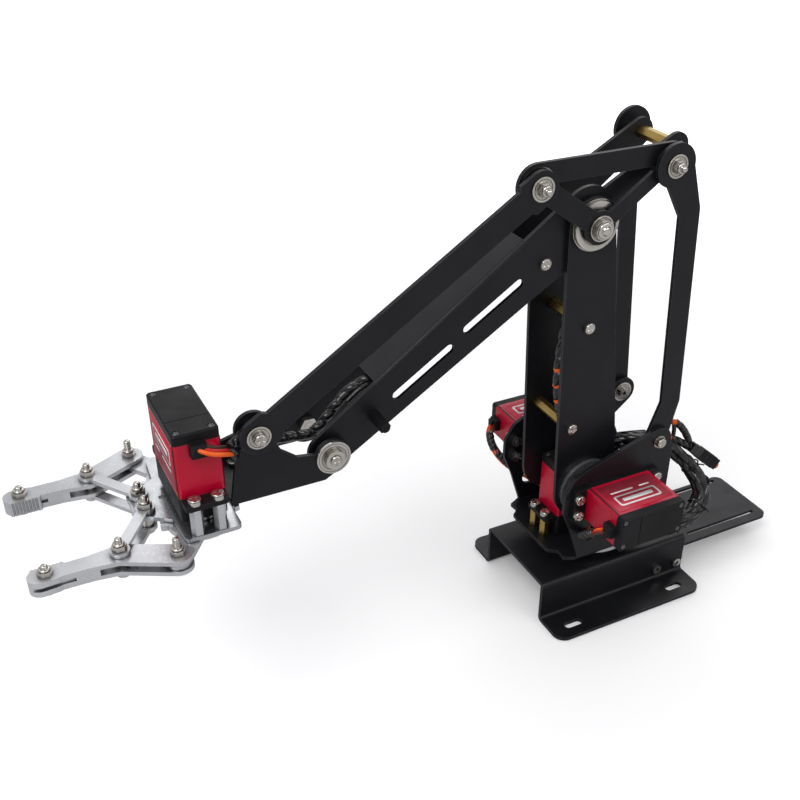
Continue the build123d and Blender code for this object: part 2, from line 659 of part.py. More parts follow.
with BuildPart() as drive_link:
    with BuildSketch(side(DRV[1])):
        blob((CX, CZ, 5.2), (RX, RZ, 5.2))
        with Locations((RX, RZ)):
            Circle(10.4)
        with Locations((CX, CZ)):
            Circle(7.4)
        with Locations((RX, RZ)):
            Circle(1.9, mode=Mode.SUBTRACT)
        with Locations((CX, CZ)):
            Circle(PINH, mode=Mode.SUBTRACT)
    extrude(amount=T)
save(drive_link, "drive_link", BLACK)

# ============================================================ forearm
FX, FZ = math.cos(DIP), -math.sin(DIP)      # direction from elbow to wrist


def fore(s, n):
    """Point s along the forearm from the elbow and n above its centre line."""
    return EX + s * FX - n * FZ, EZ + s * FZ + n * FX


# upper tangent line of the cheeks, which the web follows
C1X, C1Z, C1R = EX + 1.5, EZ + 2.3, 15.2
C2R = 10.0
CD = math.hypot(WX - C1X, WZ - C1Z)
CUX, CUZ = (WX - C1X) / CD, (WZ - C1Z) / CD
CS = (C1R - C2R) / CD
CC = math.sqrt(1 - CS * CS)
NX, NZ = -CUZ * CC + CUX * CS, CUX * CC + CUZ * CS
P1 = (C1X + C1R * NX, C1Z + C1R * NZ)
P2 = (WX + C2R * NX, WZ + C2R * NZ)


def crest(t, depth):
    """Point a share t along the cheeks' upper edge, depth below it."""
    return P1[0] + (P2[0] - P1[0]) * t - depth * NX, P1[1] + (P2[1] - P1[1]) * t - depth * NZ


with BuildPart() as forearm_channel:
    for y in (FA_N[1], FA_F[1]):
        with BuildSketch(side(y)):
            blob((C1X, C1Z, C1R), (WX, WZ, C2R))
        extrude(amount=T)
        with BuildSketch(side(y)):
            blob((EX, EZ, 10.5), (RX, RZ, 6.6))
        extrude(amount=T)
    # the folded web joining the two cheeks along their upper edge
    x0, z0 = crest(0.19, 0)
    x1, z1 = crest(0.77, 0)
    fold = Plane(origin=(x0, YC, z0), x_dir=(0, 1, 0), z_dir=(x1 - x0, 0, z1 - z0))
    run = math.hypot(x1 - x0, z1 - z0)
    width = FA_N[1] - FA_F[0]
    with BuildSketch(fold) as cut:
        with Locations((0, -2.5)):
            Rectangle(width + 4, 7.0)
    extrude(amount=run, mode=Mode.SUBTRACT)
    with BuildSketch(fold) as outer:
        with Locations((0, -3.0)):
            Rectangle(width, 6.0)
        fillet(outer.vertices().group_by(Axis.Y)[-1], 2.4)
    extrude(amount=run)
    with BuildSketch(fold.offset(-0.5)) as inner:
        with Locations((0, -T - 2.5)):
            Rectangle(width - 2 * T, 5.0)
        fillet(inner.vertices().group_by(Axis.Y)[-1], 0.6)
    extrude(amount=run + 1, mode=Mode.SUBTRACT)
    for (s0, n0), (s1, n1) in (((43.8, 0.2), (75.3, 0.2)), ((87.5, -1.6), (119.4, -1.6))):
        with BuildSketch(side(30)):
            blob((*fore(s0, n0), 2.3), (*fore(s1, n1), 2.3))
        extrude(amount=60, mode=Mode.SUBTRACT)
    with BuildSketch(side(30)):
        with Locations((EX, EZ), (WX, WZ)):
            Circle(PIN2H)
        with Locations((RX, RZ), fore(28.7, -0.4)):
            Circle(M3H)
    extrude(amount=60, mode=Mode.SUBTRACT)
    with BuildSketch(side(30)):
        with Locations(fore(133.5, -2.1)):
            Circle(M3H)
    extrude(amount=20, mode=Mode.SUBTRACT)
save(forearm_channel, "forearm_channel", BLACK)

with BuildPart() as forearm_standoffs:
    x, z = fore(28.7, -0.4)
    hex_y(x, z, FA_F[1], FA_N[0], 5.5)
    hex_y(RX, RZ, FA_F[1], FA_N[0], 5.5)
    disc_y(EX, EZ, FA_F[1], FA_N[0], 4.5)
    disc_y(EX, EZ, FA_F[1] - 1, FA_N[0] + 1, PIN2H, Mode.SUBTRACT)
save(forearm_standoffs, "forearm_standoffs", BRASS)

with BuildPart() as forearm_screws:
    x, z = fore(28.7, -0.4)
    screw((x, FA_N[1], z), (0, 1, 0), M3, T, 2.9, 1.6, 2.0)
    screw((x, FA_F[0], z), (0, -1, 0), M3, T, 2.9, 1.4, 2.0)
    screw((RX, FA_N[1], RZ), (0, 1, 0), M3, T, 2.9, 1.7, 2.0)
    # shoulder bolt that carries the drive link on the far side
    disc_y(RX, RZ, FA_F[0] - T + 2, FA_F[1], M3)
    disc_y(RX, RZ, DRV[1] + 0.1, FA_F[0], 3.6)
    disc_y(RX, RZ, -19.3, FA_F[0], PIN)
    disc_y(RX, RZ, -21.2, -19.3, 3.2)
save(forearm_screws, "forearm_screws", STEEL)

with BuildPart() as cable_peg:
    x, z = fore(133.5, -2.1)
    hex_y(x, z, FA_N[1], 27.0, 5.5)
    disc_y(x, z, FA_N[0] - 1.6, FA_N[1], M3)
    disc_y(x, z, FA_N[0] - 1.6, FA_N[0], 2.9)
    disc_y(x, z, 27.0, 28.4, 2.2)
save(cable_peg, "cable_peg", BLACK)

# ============================================================ hand
with BuildPart() as hand_bracket:
    with BuildSketch(side(HB_N[1])):
        with BuildLine():
            Polyline((WX + 8.0, WZ + 3.2), (WX + 16.8, WZ + 4.6), (WX + 23.6, WZ + 10.0),
                     (WX + 27.0, WZ + 16.6), (W1X - 8.0, W1Z + 1.0), (W1X - 4.0, W1Z + 6.0),
                     (W1X + 5.0, W1Z + 6.0), (W1X + 8.0, W1Z), (WX + 45.0, WZ + 8.0),
                     (WX + 48.0, ZP + T), (WX + 48.0, ZP), (WX + 4.0, ZP), (WX - 4.0, WZ - 7.0),
                     (WX - 7.0, WZ + 4.0), (WX, WZ + 8.0), close=True)
        make_face()
        with Locations((WX, WZ)):
            Circle(8.6)
        with Locations((W1X, W1Z)):
            Circle(8.0)
    extrude(amount=T)
    with BuildSketch(side(HB_F[1])):
        with BuildLine():
            Polyline((WX + 6.0, WZ + 5.6), (WX + 20.0, WZ + 4.0), (WX + 44.0, WZ - 2.0), (WX + 48.0, ZP + T),
                     (WX + 48.0, ZP), (WX + 4.0, ZP), (WX - 4.0, WZ - 7.0), (WX - 7.0, WZ + 4.0),
                     (WX, WZ + 8.0), close=True)
        make_face()
        with Locations((WX, WZ)):
            Circle(8.6)
    extrude(amount=T)
    with BuildSketch(level(ZP)):
        with Locations((WX + 39.0, YC)):
            Rectangle(18.0, HB_N[1] - HB_F[0])
        with Locations((WX + 38.0, YC + 9.0), (WX + 38.0, YC - 9.0)):
            Circle(1.5, mode=Mode.SUBTRACT)
    extrude(amount=T)
    with BuildSketch(side(30)):
        with Locations((WX, WZ)):
            Circle(PIN2H)
        with Locations((W1X, W1Z)):
            Circle(M3H)
    extrude(amount=60, mode=Mode.SUBTRACT)
save(hand_bracket, "hand_bracket", BLACK)

with BuildPart() as wrist_bolts:
    screw((WX, 22.3, WZ), (0, 1, 0), PIN2, 22.3 - 11.0, 4.6, 2.3, 3.0)
    disc_y(WX, WZ, HB_N[1], 22.3, 8.2)
    disc_y(WX, WZ, FA_N[1] + 0.1, HB_N[0], 5.0)
    groove_y(WX, WZ, 22.0, 22.4, 5.6, 6.0)
    groove_y(WX, WZ, 22.1, 22.4, 7.1, 7.4)
    hex_y(WX, WZ, 11.0, FA_N[0] - 0.1, 8.0)
    screw((WX, HB_F[0] - 1.3, WZ), (0, -1, 0), PIN2, 15 + 1.3 + 2 - 6.9 + 0.0, 4.6, 2.3, 3.0)
    disc_y(WX, WZ, HB_F[0] - 1.3, HB_F[0], 8.2)
    disc_y(WX, WZ, HB_F[1], FA_F[0] - 0.1, 5.0)
    hex_y(WX, WZ, FA_F[1] + 0.1, -7.0, 8.0)
    # upper pivot, carrying the link out beyond the bracket
    disc_y(W1X, W1Z, 14.6, 29.6, PIN)
    disc_y(W1X, W1Z, HB_N[1], LNK[0] - 0.1, 3.6)
    disc_y(W1X, W1Z, LNK[1] + 0.1, 29.6, 5.4)
    groove_y(W1X, W1Z, 29.3, 29.7, 4.2, 4.6)
    disc_y(W1X, W1Z, 29.6, 31.5, 2.9)
    hex_y(W1X, W1Z, 14.6, HB_N[0], 5.5)
    with BuildSketch(Plane(origin=(W1X, 31.5, W1Z), z_dir=(0, 1, 0))) as sk:
        RegularPolygon(1.1, 6)
    extrude(sk.sketch, amount=-1.2, mode=Mode.SUBTRACT)
save(wrist_bolts, "wrist_bolts", STEEL)

with BuildPart() as gripper_plate:
    with BuildSketch(level(ZP - T)):
        with BuildLine():
            pts = [(28.0, 13.7), (44.0, 13.7), (48.5, 20.0), (48.5, 34.0), (73.0, 34.0), (74.3, 17.0),
                   (82.4, 11.0), (88.0, 9.0)]
            Polyline(*[(WX + x, YC + y) for x, y in pts],
                     *[(WX + x, YC - y) for x, y in reversed(pts)], close=True)
        make_face()
        with Locations((GX, YC + PG)):
            Circle(5.0, mode=Mode.SUBTRACT)
        with Locations((GX, YC - PG), (IX, YC + IY), (IX, YC - IY)):
            Circle(M3H, mode=Mode.SUBTRACT)
        with Locations(*[(GX + a, YC + PG + b) for a in (-5, 5)
                         for b in (BC * -1 - SV_HX, BC * -1 + SV_HX)]):
            Circle(M3H, mode=Mode.SUBTRACT)
        with Locations((WX + 74.0, YC - 1.0), (WX + 38.0, YC + 9.0), (WX + 38.0, YC - 9.0)):
            Circle(1.5, mode=Mode.SUBTRACT)
    extrude(amount=T)
    corners = [e for e in gripper_plate.edges().filter_by(Axis.Z) if e.length > 1.9 and
               e.geom_type == GeomType.LINE and abs(e.center().Y - YC) > 30]
    fillet(corners, 2.5)
save(gripper_plate, "gripper_plate", ALU)

GRIP_SCREWS = [(GX + a, YC + PG - BC + b) for a in (-SV_HY, SV_HY) for b in (-SV_HX, SV_HX)]
with BuildPart() as gripper_standoffs:
    for x, y in GRIP_SCREWS:
        hex_z(x, y, ZP, ZP + GS, 5.0)
save(gripper_standoffs, "gripper_standoffs", ALU)

with BuildPart() as gripper_screws:
    for x, y in GRIP_SCREWS:
        screw((x, y, ZP + GS + SV_FL), (0, 0, 1), M3, SV_FL, 2.9, 1.9, 2.0)
        disc_z(x, y, ZP - T, ZP, M3)
        # low heads under the plate
        disc_z(x, y, ZP - T - 0.0, ZP - T + 0.4, M3)
    for x, y in ((WX + 38.0, YC + 9.0), (WX + 38.0, YC - 9.0)):
        screw((x, y, ZP + T), (0, 0, 1), M3, 2 * T, 2.9, 1.9, 2.0)
save(gripper_screws, "gripper_screws", STEEL)

# Fixed pins of the gear levers and idler links on the hand
with BuildPart() as gripper_pins:
    disc_z(GX, YC - PG, 122.4, ZP - T, PIN)
    disc_z(GX, YC - PG, ZP - T, ZP, M3)
    disc_z(GX, YC - PG, 122.4, 124.1, 2.9)
    for s in (1, -1):
        x, y = IX, YC + s * IY
        disc_z(x, y, 118.2, ZP - T, PIN)
        disc_z(x, y, ZP - T, ZP, M3)
        disc_z(x, y, ZP, 134.5, PIN)
        disc_z(x, y, 122.05, ZP - T, 3.0)
        disc_z(x, y, 118.2, 119.8, 2.9)
        hex_z(x, y, 131.2, 133.6, 5.5)
save(gripper_pins, "gripper_pins", STEEL)

# ------------------------------------------------------------ gear levers
TEETH = 20
MOD = 2 * PG / TEETH


def lever(sgn, phase):
    """Gear sector about the lever pivot plus the arm to its finger."""
    cx, cy = GX, YC + sgn * PG
    tip = (GX + LVX, cy + sgn * LVY)
    with BuildSketch(level(124.2)) as body:
        blob((cx, cy, 6.0), (tip[0], tip[1], 5.2))
        with Locations((cx, cy)):
            Circle(PG - 1.55)
    extrude(body.sketch, amount=2.6)
    with BuildSketch(level(124.2)) as teeth:
        for k in range(TEETH):
            a = phase + k * 360 / TEETH
            if abs((a + sgn * 90 + 180) % 360 - 180) > 100:
                continue
            with BuildLine():
                r0, r1, rp = PG - 2.0, PG + 1.1, PG
                w0, w1, wp = 0.30, 0.10, 0.205
                m = 360 / TEETH
                pts = []
                for r, w in ((r0, w0), (rp, wp), (r1, w1), (r1, -w1), (rp, -wp), (r0, -w0)):
                    t = math.radians(a + w * m)
                    pts.append((cx + r * math.cos(t), cy + r * math.sin(t)))
                Polyline(*pts, close=True)
            make_face()
    extrude(teeth.sketch, amount=2.6)


with BuildPart() as near_gear_lever:
    lever(1, -90.0)
    # fixed to the servo shaft below the horn
    with BuildSketch(level(124)) as sk:
        with Locations((GX, YC + PG)):
            Circle(2.0)
        with Locations((GX + LVX, YC + PG + LVY)):
            Circle(PINH)
    extrude(sk.sketch, amount=4, mode=Mode.SUBTRACT)
save(near_gear_lever, "near_gear_lever", ALU)

with BuildPart() as far_gear_lever:
    lever(-1, 90.0 + 180.0 / TEETH)
    with BuildSketch(level(124)) as sk:
        with Locations((GX, YC - PG)):
            Circle(PINH)
        with Locations((GX + LVX, YC - PG - LVY)):
            Circle(PINH)
    extrude(sk.sketch, amount=4, mode=Mode.SUBTRACT)
save(far_gear_lever, "far_gear_lever", ALU)

grip_face = Plane(origin=SERVOS["gripper"][0], x_dir=(0, -1, 0), z_dir=(0, 0, 1))
with BuildPart() as grip_horn:
    disc_z(GX, YC + PG, 126.8, 129.4, 4.6)
    disc_z(GX, YC + PG, 129.4, 131.4, 8.2)
    disc_z(GX, YC + PG, 131.4, ZP + GS - 2.0, 2.95)
    disc_z(GX, YC + PG, ZP + GS - 6.9, ZP + GS - 4.1, 7.6)
    disc_z(GX, YC + PG, 124.2, 126.8, 2.0)
    disc_z(GX, YC + PG, 122.6, 124.2, 3.2)
save(grip_horn, "grip_horn_and_shaft", STEEL)

# ------------------------------------------------------------ idlers, fingers
for sgn, tag in ((1, "near"), (-1, "far")):
    px, py = GX + LVX, YC + sgn * (PG + LVY)          # lever pivot
    mx, my = IX + LVX, YC + sgn * (IY + LVY)          # idler pivot
    ix, iy = IX, YC + sgn * IY
    tx, ty = WX + 129.5, YC + sgn * 30.1              # tip screw
    ex = WX + 137.0

    with BuildPart() as idler:
        for z in (129.15, 119.95):
            with BuildSketch(level(z)):
                blob((ix, iy, 2.5), (mx, my, 2.5))
                with Locations((ix, iy), (mx, my)):
                    Circle(4.2)
                with Locations((ix, iy)):
                    Circle(PINH, mode=Mode.SUBTRACT)
                with Locations((mx, my)):
                    Circle(1.9, mode=Mode.SUBTRACT)
            extrude(amount=1.95)
    save(idler, f"{tag}_idler_link", ALU)

    with BuildPart() as finger:
        for a, b in (((px, py, 6.2), (mx, my, 5.8)), ((mx, my, 5.8), (mx + 12, ty, 4.2)),
                     ((mx + 12, ty, 4.2), (tx - 6, ty, 4.0)), ((tx - 3, ty, 4.6), (ex - 5.2, ty, 5.0))):
            with BuildSketch(level(122.0)):
                blob(a, b)
            extrude(amount=7.0)
        with BuildSketch(level(122.0)):
            with Locations(((tx - 8 + ex - 2) / 2, YC + sgn * (24.7 + 31.0) / 2)):
                RectangleRounded(ex - tx + 6, 6.3, 1.2)
        extrude(amount=7.0)
        with BuildSketch(level(121.0)):
            with Locations((px, py), (mx, my), (tx, ty)):
                Circle(M3H)
        extrude(amount=9.0, mode=Mode.SUBTRACT)
        # slot for the lever
        with BuildSketch(level(123.95)):
            with Locations(((px + mx) / 2 - 3, (py + my) / 2)):
                Rectangle(46.0, 46.0)
        extrude(amount=3.1, mode=Mode.SUBTRACT)
        # grooves along the sides of the front bar
        with BuildSketch(level(124.6)):
            with Locations(((mx + 19 + ex) / 2, YC + sgn * 34.9)):
                Rectangle(ex - mx - 19, 3.0)
            with Locations(((mx + 19 + tx - 8) / 2, YC + sgn * 25.6)):
                Rectangle(tx - mx - 27, 3.0)
        extrude(amount=1.8, mode=Mode.SUBTRACT)
        # serrations of the jaw
        with BuildSketch(level(121.0)):
            for k in range(9):
                with Locations((tx - 6.0 + k * 1.4, YC + sgn * 24.7)):
                    Circle(0.5)
        extrude(amount=9, mode=Mode.SUBTRACT)
    save(finger, f"{tag}_finger", ALU)

    with BuildPart() as finger_bolts:
        for x, y, zt in ((px, py, ZP), (mx, my, 131.2), (tx, ty, ZP)):
            low = 122.0 if zt == ZP else 119.85
            disc_z(x, y, low, zt, PIN)
            disc_z(x, y, low - 1.7, low, 2.9)
            hex_z(x, y, zt, zt + 2.4, 5.5)
            disc_z(x, y, zt + 2.4, zt + {px: 7.6, mx: 2.9, tx: 1.1}[x], PIN)
        disc_z(mx, my, 124.0, 127.0, 2.6)
    save(finger_bolts, f"{tag}_finger_bolts", STEEL)
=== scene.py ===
import math

import bmesh
import bpy
from mathutils import Matrix, Vector


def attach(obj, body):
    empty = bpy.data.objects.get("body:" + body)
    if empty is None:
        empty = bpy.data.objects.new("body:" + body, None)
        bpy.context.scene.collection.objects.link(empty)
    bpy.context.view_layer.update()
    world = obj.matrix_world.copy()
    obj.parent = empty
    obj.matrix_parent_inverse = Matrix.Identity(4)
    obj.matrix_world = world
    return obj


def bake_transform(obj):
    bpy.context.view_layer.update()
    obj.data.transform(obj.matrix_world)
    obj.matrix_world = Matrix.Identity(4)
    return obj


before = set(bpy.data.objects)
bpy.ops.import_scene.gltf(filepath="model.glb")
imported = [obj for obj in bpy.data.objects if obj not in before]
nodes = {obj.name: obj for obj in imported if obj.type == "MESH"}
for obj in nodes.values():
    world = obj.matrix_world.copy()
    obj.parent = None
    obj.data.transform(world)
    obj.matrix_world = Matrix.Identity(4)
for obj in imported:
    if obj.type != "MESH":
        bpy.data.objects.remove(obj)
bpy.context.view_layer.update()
MM = 0.001

# ---------------------------------------------------------------- reference sizes (mm)
YC = 2.0
SX, SZ = 20.0, 77.5
EX, EZ = 32.086, 227.715
WX, WZ = 165.786, 140.557
GX, IX, ZP, PG = WX + 62.0, WX + 83.0, 129.0, 16.4
DIP = math.radians(33.1)
BX, BZ = -16.0, 102.5
FX, FZ = math.cos(DIP), -math.sin(DIP)


def fore(s, n):
    return EX + s * FX - n * FZ, EZ + s * FZ + n * FX


# ---------------------------------------------------------------- materials
def new_mat(name):
    m = bpy.data.materials.new(name)
    m.use_nodes = True
    t = m.node_tree
    t.nodes.clear()
    out = t.nodes.new("ShaderNodeOutputMaterial")
    b = t.nodes.new("ShaderNodeBsdfPrincipled")
    t.links.new(b.outputs[0], out.inputs[0])
    return m, t, b


def coords(t, scale=(1, 1, 1)):
    c = t.nodes.new("ShaderNodeTexCoord")
    mp = t.nodes.new("ShaderNodeMapping")
    mp.inputs["Scale"].default_value = scale
    t.links.new(c.outputs["Object"], mp.inputs[0])
    return mp.outputs[0]


def noise(t, vec, scale, detail=4.0, rough=0.55):
    n = t.nodes.new("ShaderNodeTexNoise")
    n.inputs["Scale"].default_value = scale
    n.inputs["Detail"].default_value = detail
    n.inputs["Roughness"].default_value = rough
    t.links.new(vec, n.inputs["Vector"])
    return n.outputs["Fac"]


def ramp(t, fac, stops):
    r = t.nodes.new("ShaderNodeValToRGB")
    el = r.color_ramp.elements
    el[0].position, el[0].color = stops[0][0], (*stops[0][1], 1)
    el[1].position, el[1].color = stops[-1][0], (*stops[-1][1], 1)
    for p, c in stops[1:-1]:
        e = el.new(p)
        e.color = (*c, 1)
    t.links.new(fac, r.inputs[0])
    return r.outputs[0]


def spread(t, fac, lo, hi):
    m = t.nodes.new("ShaderNodeMapRange")
    m.inputs["From Min"].default_value = 0.3
    m.inputs["From Max"].default_value = 0.7
    m.inputs["To Min"].default_value = lo
    m.inputs["To Max"].default_value = hi
    t.links.new(fac, m.inputs["Value"])
    return m.outputs[0]


def bump(t, b, fac, dist, strength=1.0):
    n = t.nodes.new("ShaderNodeBump")
    n.inputs["Distance"].default_value = dist
    n.inputs["Strength"].default_value = strength
    t.links.new(fac, n.inputs["Height"])
    t.links.new(n.outputs[0], b.inputs["Normal"])


def edge_mask(t, radius, lo=0.02, hi=0.25):
    """1 on convex edges, 0 on flats: the angle between the true and the rounded normal."""
    bv = t.nodes.new("ShaderNodeBevel")
    bv.samples = 4
    bv.inputs["Radius"].default_value = radius
    g = t.nodes.new("ShaderNodeNewGeometry")
    d = t.nodes.new("ShaderNodeVectorMath")
    d.operation = "DOT_PRODUCT"
    t.links.new(bv.outputs[0], d.inputs[0])
    t.links.new(g.outputs["True Normal"], d.inputs[1])
    m = t.nodes.new("ShaderNodeMapRange")
    m.inputs["From Min"].default_value = 1.0 - lo
    m.inputs["From Max"].default_value = 1.0 - hi
    t.links.new(d.outputs["Value"], m.inputs["Value"])
    return m.outputs[0]


def mix(t, fac, a, b):
    m = t.nodes.new("ShaderNodeMix")
    m.data_type = "RGBA"
    t.links.new(fac, m.inputs["Factor"])
    for sock, v in ((m.inputs["A"], a), (m.inputs["B"], b)):
        if isinstance(v, tuple):
            sock.default_value = (*v, 1)
        else:
            t.links.new(v, sock)
    return m.outputs["Result"]


def painted(name, lo, hi, r_lo, r_hi, grain=0.00004, rim=(0.16, 0.17, 0.19), rim_w=0.00035, metal=0.0,
            coat=0.0, scale=38.0, spec=0.5):
    m, t, b = new_mat(name)
    v = coords(t)
    big = noise(t, v, scale, 5)
    fine = noise(t, v, 1800, 2)
    col = ramp(t, big, [(0.35, lo), (0.65, hi)])
    wear = t.nodes.new("ShaderNodeMath")
    wear.operation = "MULTIPLY"
    t.links.new(edge_mask(t, rim_w), wear.inputs[0])
    t.links.new(spread(t, noise(t, v, 260, 4), 0.35, 1.0), wear.inputs[1])
    t.links.new(mix(t, wear.outputs[0], col, rim), b.inputs["Base Color"])
    t.links.new(spread(t, noise(t, v, 90, 6), r_lo, r_hi), b.inputs["Roughness"])
    b.inputs["Metallic"].default_value = metal
    b.inputs["Specular IOR Level"].default_value = spec
    b.inputs["Coat Weight"].default_value = coat
    b.inputs["Coat Roughness"].default_value = 0.25
    bump(t, b, fine, grain, 0.5)
    return m


def metal(name, lo, hi, r_lo, r_hi, stretch=(1, 1, 1), scale=500.0, dist=0.00003, metallic=1.0):
    m, t, b = new_mat(name)
    v = coords(t, stretch)
    big = noise(t, coords(t), 60, 4)
    fine = noise(t, v, scale, 4)
    # painted shade: corners and joints between stacked washers and nuts get a darker base colour wherever ambient
    # occlusion finds them
    ao = t.nodes.new("ShaderNodeAmbientOcclusion")
    ao.samples = 6
    ao.inputs["Distance"].default_value = 0.0035
    g = t.nodes.new("ShaderNodeMapRange")
    g.inputs["From Min"].default_value = 0.35
    g.inputs["From Max"].default_value = 0.9
    t.links.new(ao.outputs["AO"], g.inputs["Value"])
    # painted shade colour: the base tone scaled to 0.22, used where the AO output is low
    painted_crevice_shade = tuple(c * 0.22 for c in lo)
    t.links.new(mix(t, g.outputs[0], painted_crevice_shade, ramp(t, big, [(0.3, lo), (0.7, hi)])), b.inputs["Base Color"])
    t.links.new(spread(t, fine, r_lo, r_hi), b.inputs["Roughness"])
    b.inputs["Metallic"].default_value = metallic
    bump(t, b, fine, dist, 0.35)
    return m


SHEET = painted("black_sheet", (0.0045, 0.0047, 0.0062), (0.0075, 0.0078, 0.0100), 0.34, 0.46,
                rim=(0.10, 0.105, 0.12), spec=0.30)
RED = painted("crimson_case", (0.42, 0.0008, 0.021), (0.52, 0.0015, 0.029), 0.24, 0.34, grain=0.00001,
              rim=(0.55, 0.03, 0.06), coat=0.08, spec=0.3)
LABEL = painted("crimson_label", (0.40, 0.002, 0.024), (0.48, 0.003, 0.032), 0.42, 0.52, grain=0.000015,
                rim=(0.50, 0.05, 0.08), spec=0.3)
PLASTIC = painted("black_plastic", (0.006, 0.006, 0.0068), (0.0105, 0.0105, 0.0118), 0.38, 0.52, grain=0.00006,
                  rim=(0.045, 0.045, 0.05), spec=0.16)
SLEEVE = painted("black_sleeve", (0.004, 0.004, 0.0045), (0.009, 0.009, 0.0098), 0.16, 0.28, grain=0.00003,
                 rim=(0.03, 0.03, 0.034), spec=0.6)
ALU = metal("satin_aluminium", (0.60, 0.61, 0.63), (0.72, 0.73, 0.75), 0.26, 0.34, (1, 1, 1), 700, dist=0.000006, metallic=0.9)
ALU_B = metal("brushed_aluminium", (0.48, 0.49, 0.51), (0.64, 0.65, 0.67), 0.18, 0.28, (3, 1, 1), 700, dist=0.000005, metallic=0.95)
NICKEL = metal("bright_nickel", (0.56, 0.53, 0.49), (0.70, 0.67, 0.62), 0.13, 0.24, (1, 1, 1), 700, dist=0.00001, metallic=0.97)
DARK_STEEL = metal("dark_steel", (0.13, 0.13, 0.135), (0.20, 0.20, 0.21), 0.28, 0.42, (1, 1, 1), 700)
BRASS = metal("brass", (0.42, 0.29, 0.085), (0.54, 0.39, 0.13), 0.26, 0.40, (1, 6, 1), 400)
ORANGE = painted("orange_wire", (0.74, 0.085, 0.003), (0.86, 0.13, 0.007), 0.34, 0.46, grain=0.00001,
                 rim=(0.9, 0.25, 0.04), spec=0.35)
REDW = painted("red_wire", (0.40, 0.006, 0.005), (0.52, 0.012, 0.008), 0.34, 0.46, grain=0.00001,
               rim=(0.6, 0.04, 0.03), spec=0.35)
BROWN = painted("brown_wire", (0.035, 0.010, 0.005), (0.06, 0.02, 0.008), 0.36, 0.48, grain=0.00001,
                rim=(0.12, 0.05, 0.03), spec=0.35)

BLACK_SHEET = ("base_bracket", "cable_tray", "turret_bracket", "lower_arm_near_plate", "lower_arm_far_plate",
               "rocker_plate", "rear_link", "upper_link", "crank_plate", "drive_link", "forearm_channel", "hand_bracket")
for name, ob in nodes.items():
    if name in BLACK_SHEET:
        m, w = SHEET, 0.00022
    elif name.endswith("servo_case"):
        m, w = RED, 0.0004
    elif name.endswith("servo_cover") or name.endswith("servo_gearbox") or name == "cable_peg":
        m, w = PLASTIC, 0.00045
    elif name in ("yaw_standoffs", "lower_arm_standoffs", "forearm_standoffs", "arm_servo_gears"):
        m, w = BRASS, 0.0002
    elif "finger" in name and "bolts" not in name or name.endswith("gear_lever") or name.endswith("idler_link"):
        m, w = ALU, 0.00035
    elif name in ("gripper_plate",):
        m, w = ALU_B, 0.0003
    elif name in ("base_hub", "gripper_standoffs", "yaw_horn_and_shaft", "shoulder_horn_and_shaft",
                  "elbow_horn_and_shaft", "yaw_bearing_outer"):
        m, w = ALU, 0.0002
    else:
        m, w = NICKEL, 0.00028
    ob.data.materials.clear()
    ob.data.materials.append(m)
    bev = ob.modifiers.new("rim", "BEVEL")
    bev.width = w
    bev.segments = 2
    bev.limit_method = "ANGLE"
    bev.angle_limit = math.radians(38)
    bev.harden_normals = True
    bev.use_clamp_overlap = True


# ---------------------------------------------------------------- mesh helpers
def finish_bm(bm, name, mat, body, bevel=0.0, subdiv=0):
    me = bpy.data.meshes.new(name)
    bmesh.ops.remove_doubles(bm, verts=bm.verts, dist=1e-7)
    bmesh.ops.recalc_face_normals(bm, faces=bm.faces)
    bm.to_mesh(me)
    bm.free()
    for p in me.polygons:
        p.use_smooth = True
    ob = bpy.data.objects.new(name, me)
    bpy.context.scene.collection.objects.link(ob)
    mats = mat if isinstance(mat, (list, tuple)) else [mat]
    for m in mats:
        me.materials.append(m)
    if bevel:
        b = ob.modifiers.new("rim", "BEVEL")
        b.width = bevel
        b.segments = 2
        b.limit_method = "ANGLE"
        b.angle_limit = math.radians(35)
        b.harden_normals = True
    if subdiv:
        s = ob.modifiers.new("sub", "SUBSURF")
        s.levels = s.render_levels = subdiv
    if body:
        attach(ob, body)
    return ob


def spline(pts, n=10):
    """Centripetal Catmull-Rom through points in mm, as Vectors in metres."""
    P = [Vector(p) * MM for p in pts]
    P = [P[0] * 2 - P[1]] + P + [P[-1] * 2 - P[-2]]
    out = []
    for i in range(1, len(P) - 2):
        p0, p1, p2, p3 = P[i - 1:i + 3]
        t0 = 0.0
        t1 = t0 + max((p1 - p0).length ** 0.5, 1e-6)
        t2 = t1 + max((p2 - p1).length ** 0.5, 1e-6)
        t3 = t2 + max((p3 - p2).length ** 0.5, 1e-6)
        for k in range(n):
            t = t1 + (t2 - t1) * k / n
            a1 = p0 * ((t1 - t) / (t1 - t0)) + p1 * ((t - t0) / (t1 - t0))
            a2 = p1 * ((t2 - t) / (t2 - t1)) + p2 * ((t - t1) / (t2 - t1))
            a3 = p2 * ((t3 - t) / (t3 - t2)) + p3 * ((t - t2) / (t3 - t2))
            b1 = a1 * ((t2 - t) / (t2 - t0)) + a2 * ((t - t0) / (t2 - t0))
            b2 = a2 * ((t3 - t) / (t3 - t1)) + a3 * ((t - t1) / (t3 - t1))
            out.append(b1 * ((t2 - t) / (t2 - t1)) + b2 * ((t - t1) / (t2 - t1)))
    out.append(P[-2].copy())
    return out


def frames(path):
    """Parallel-transport frames along the path."""
    tang = []
    for i in range(len(path)):
        a, b = path[max(0, i - 1)], path[min(len(path) - 1, i + 1)]
        tang.append((b - a).normalized())
    up = Vector((0, 0, 1)) if abs(tang[0].z) < 0.9 else Vector((1, 0, 0))
    n = (up - tang[0] * up.dot(tang[0])).normalized()
    res = []
    for i, tg in enumerate(tang):
        if i:
            ax = tang[i - 1].cross(tg)
            if ax.length > 1e-9:
                n = Matrix.Rotation(tang[i - 1].angle(tg), 3, ax.normalized()) @ n
            n = (n - tg * n.dot(tg)).normalized()
        res.append((tg, n, tg.cross(n)))
    return res


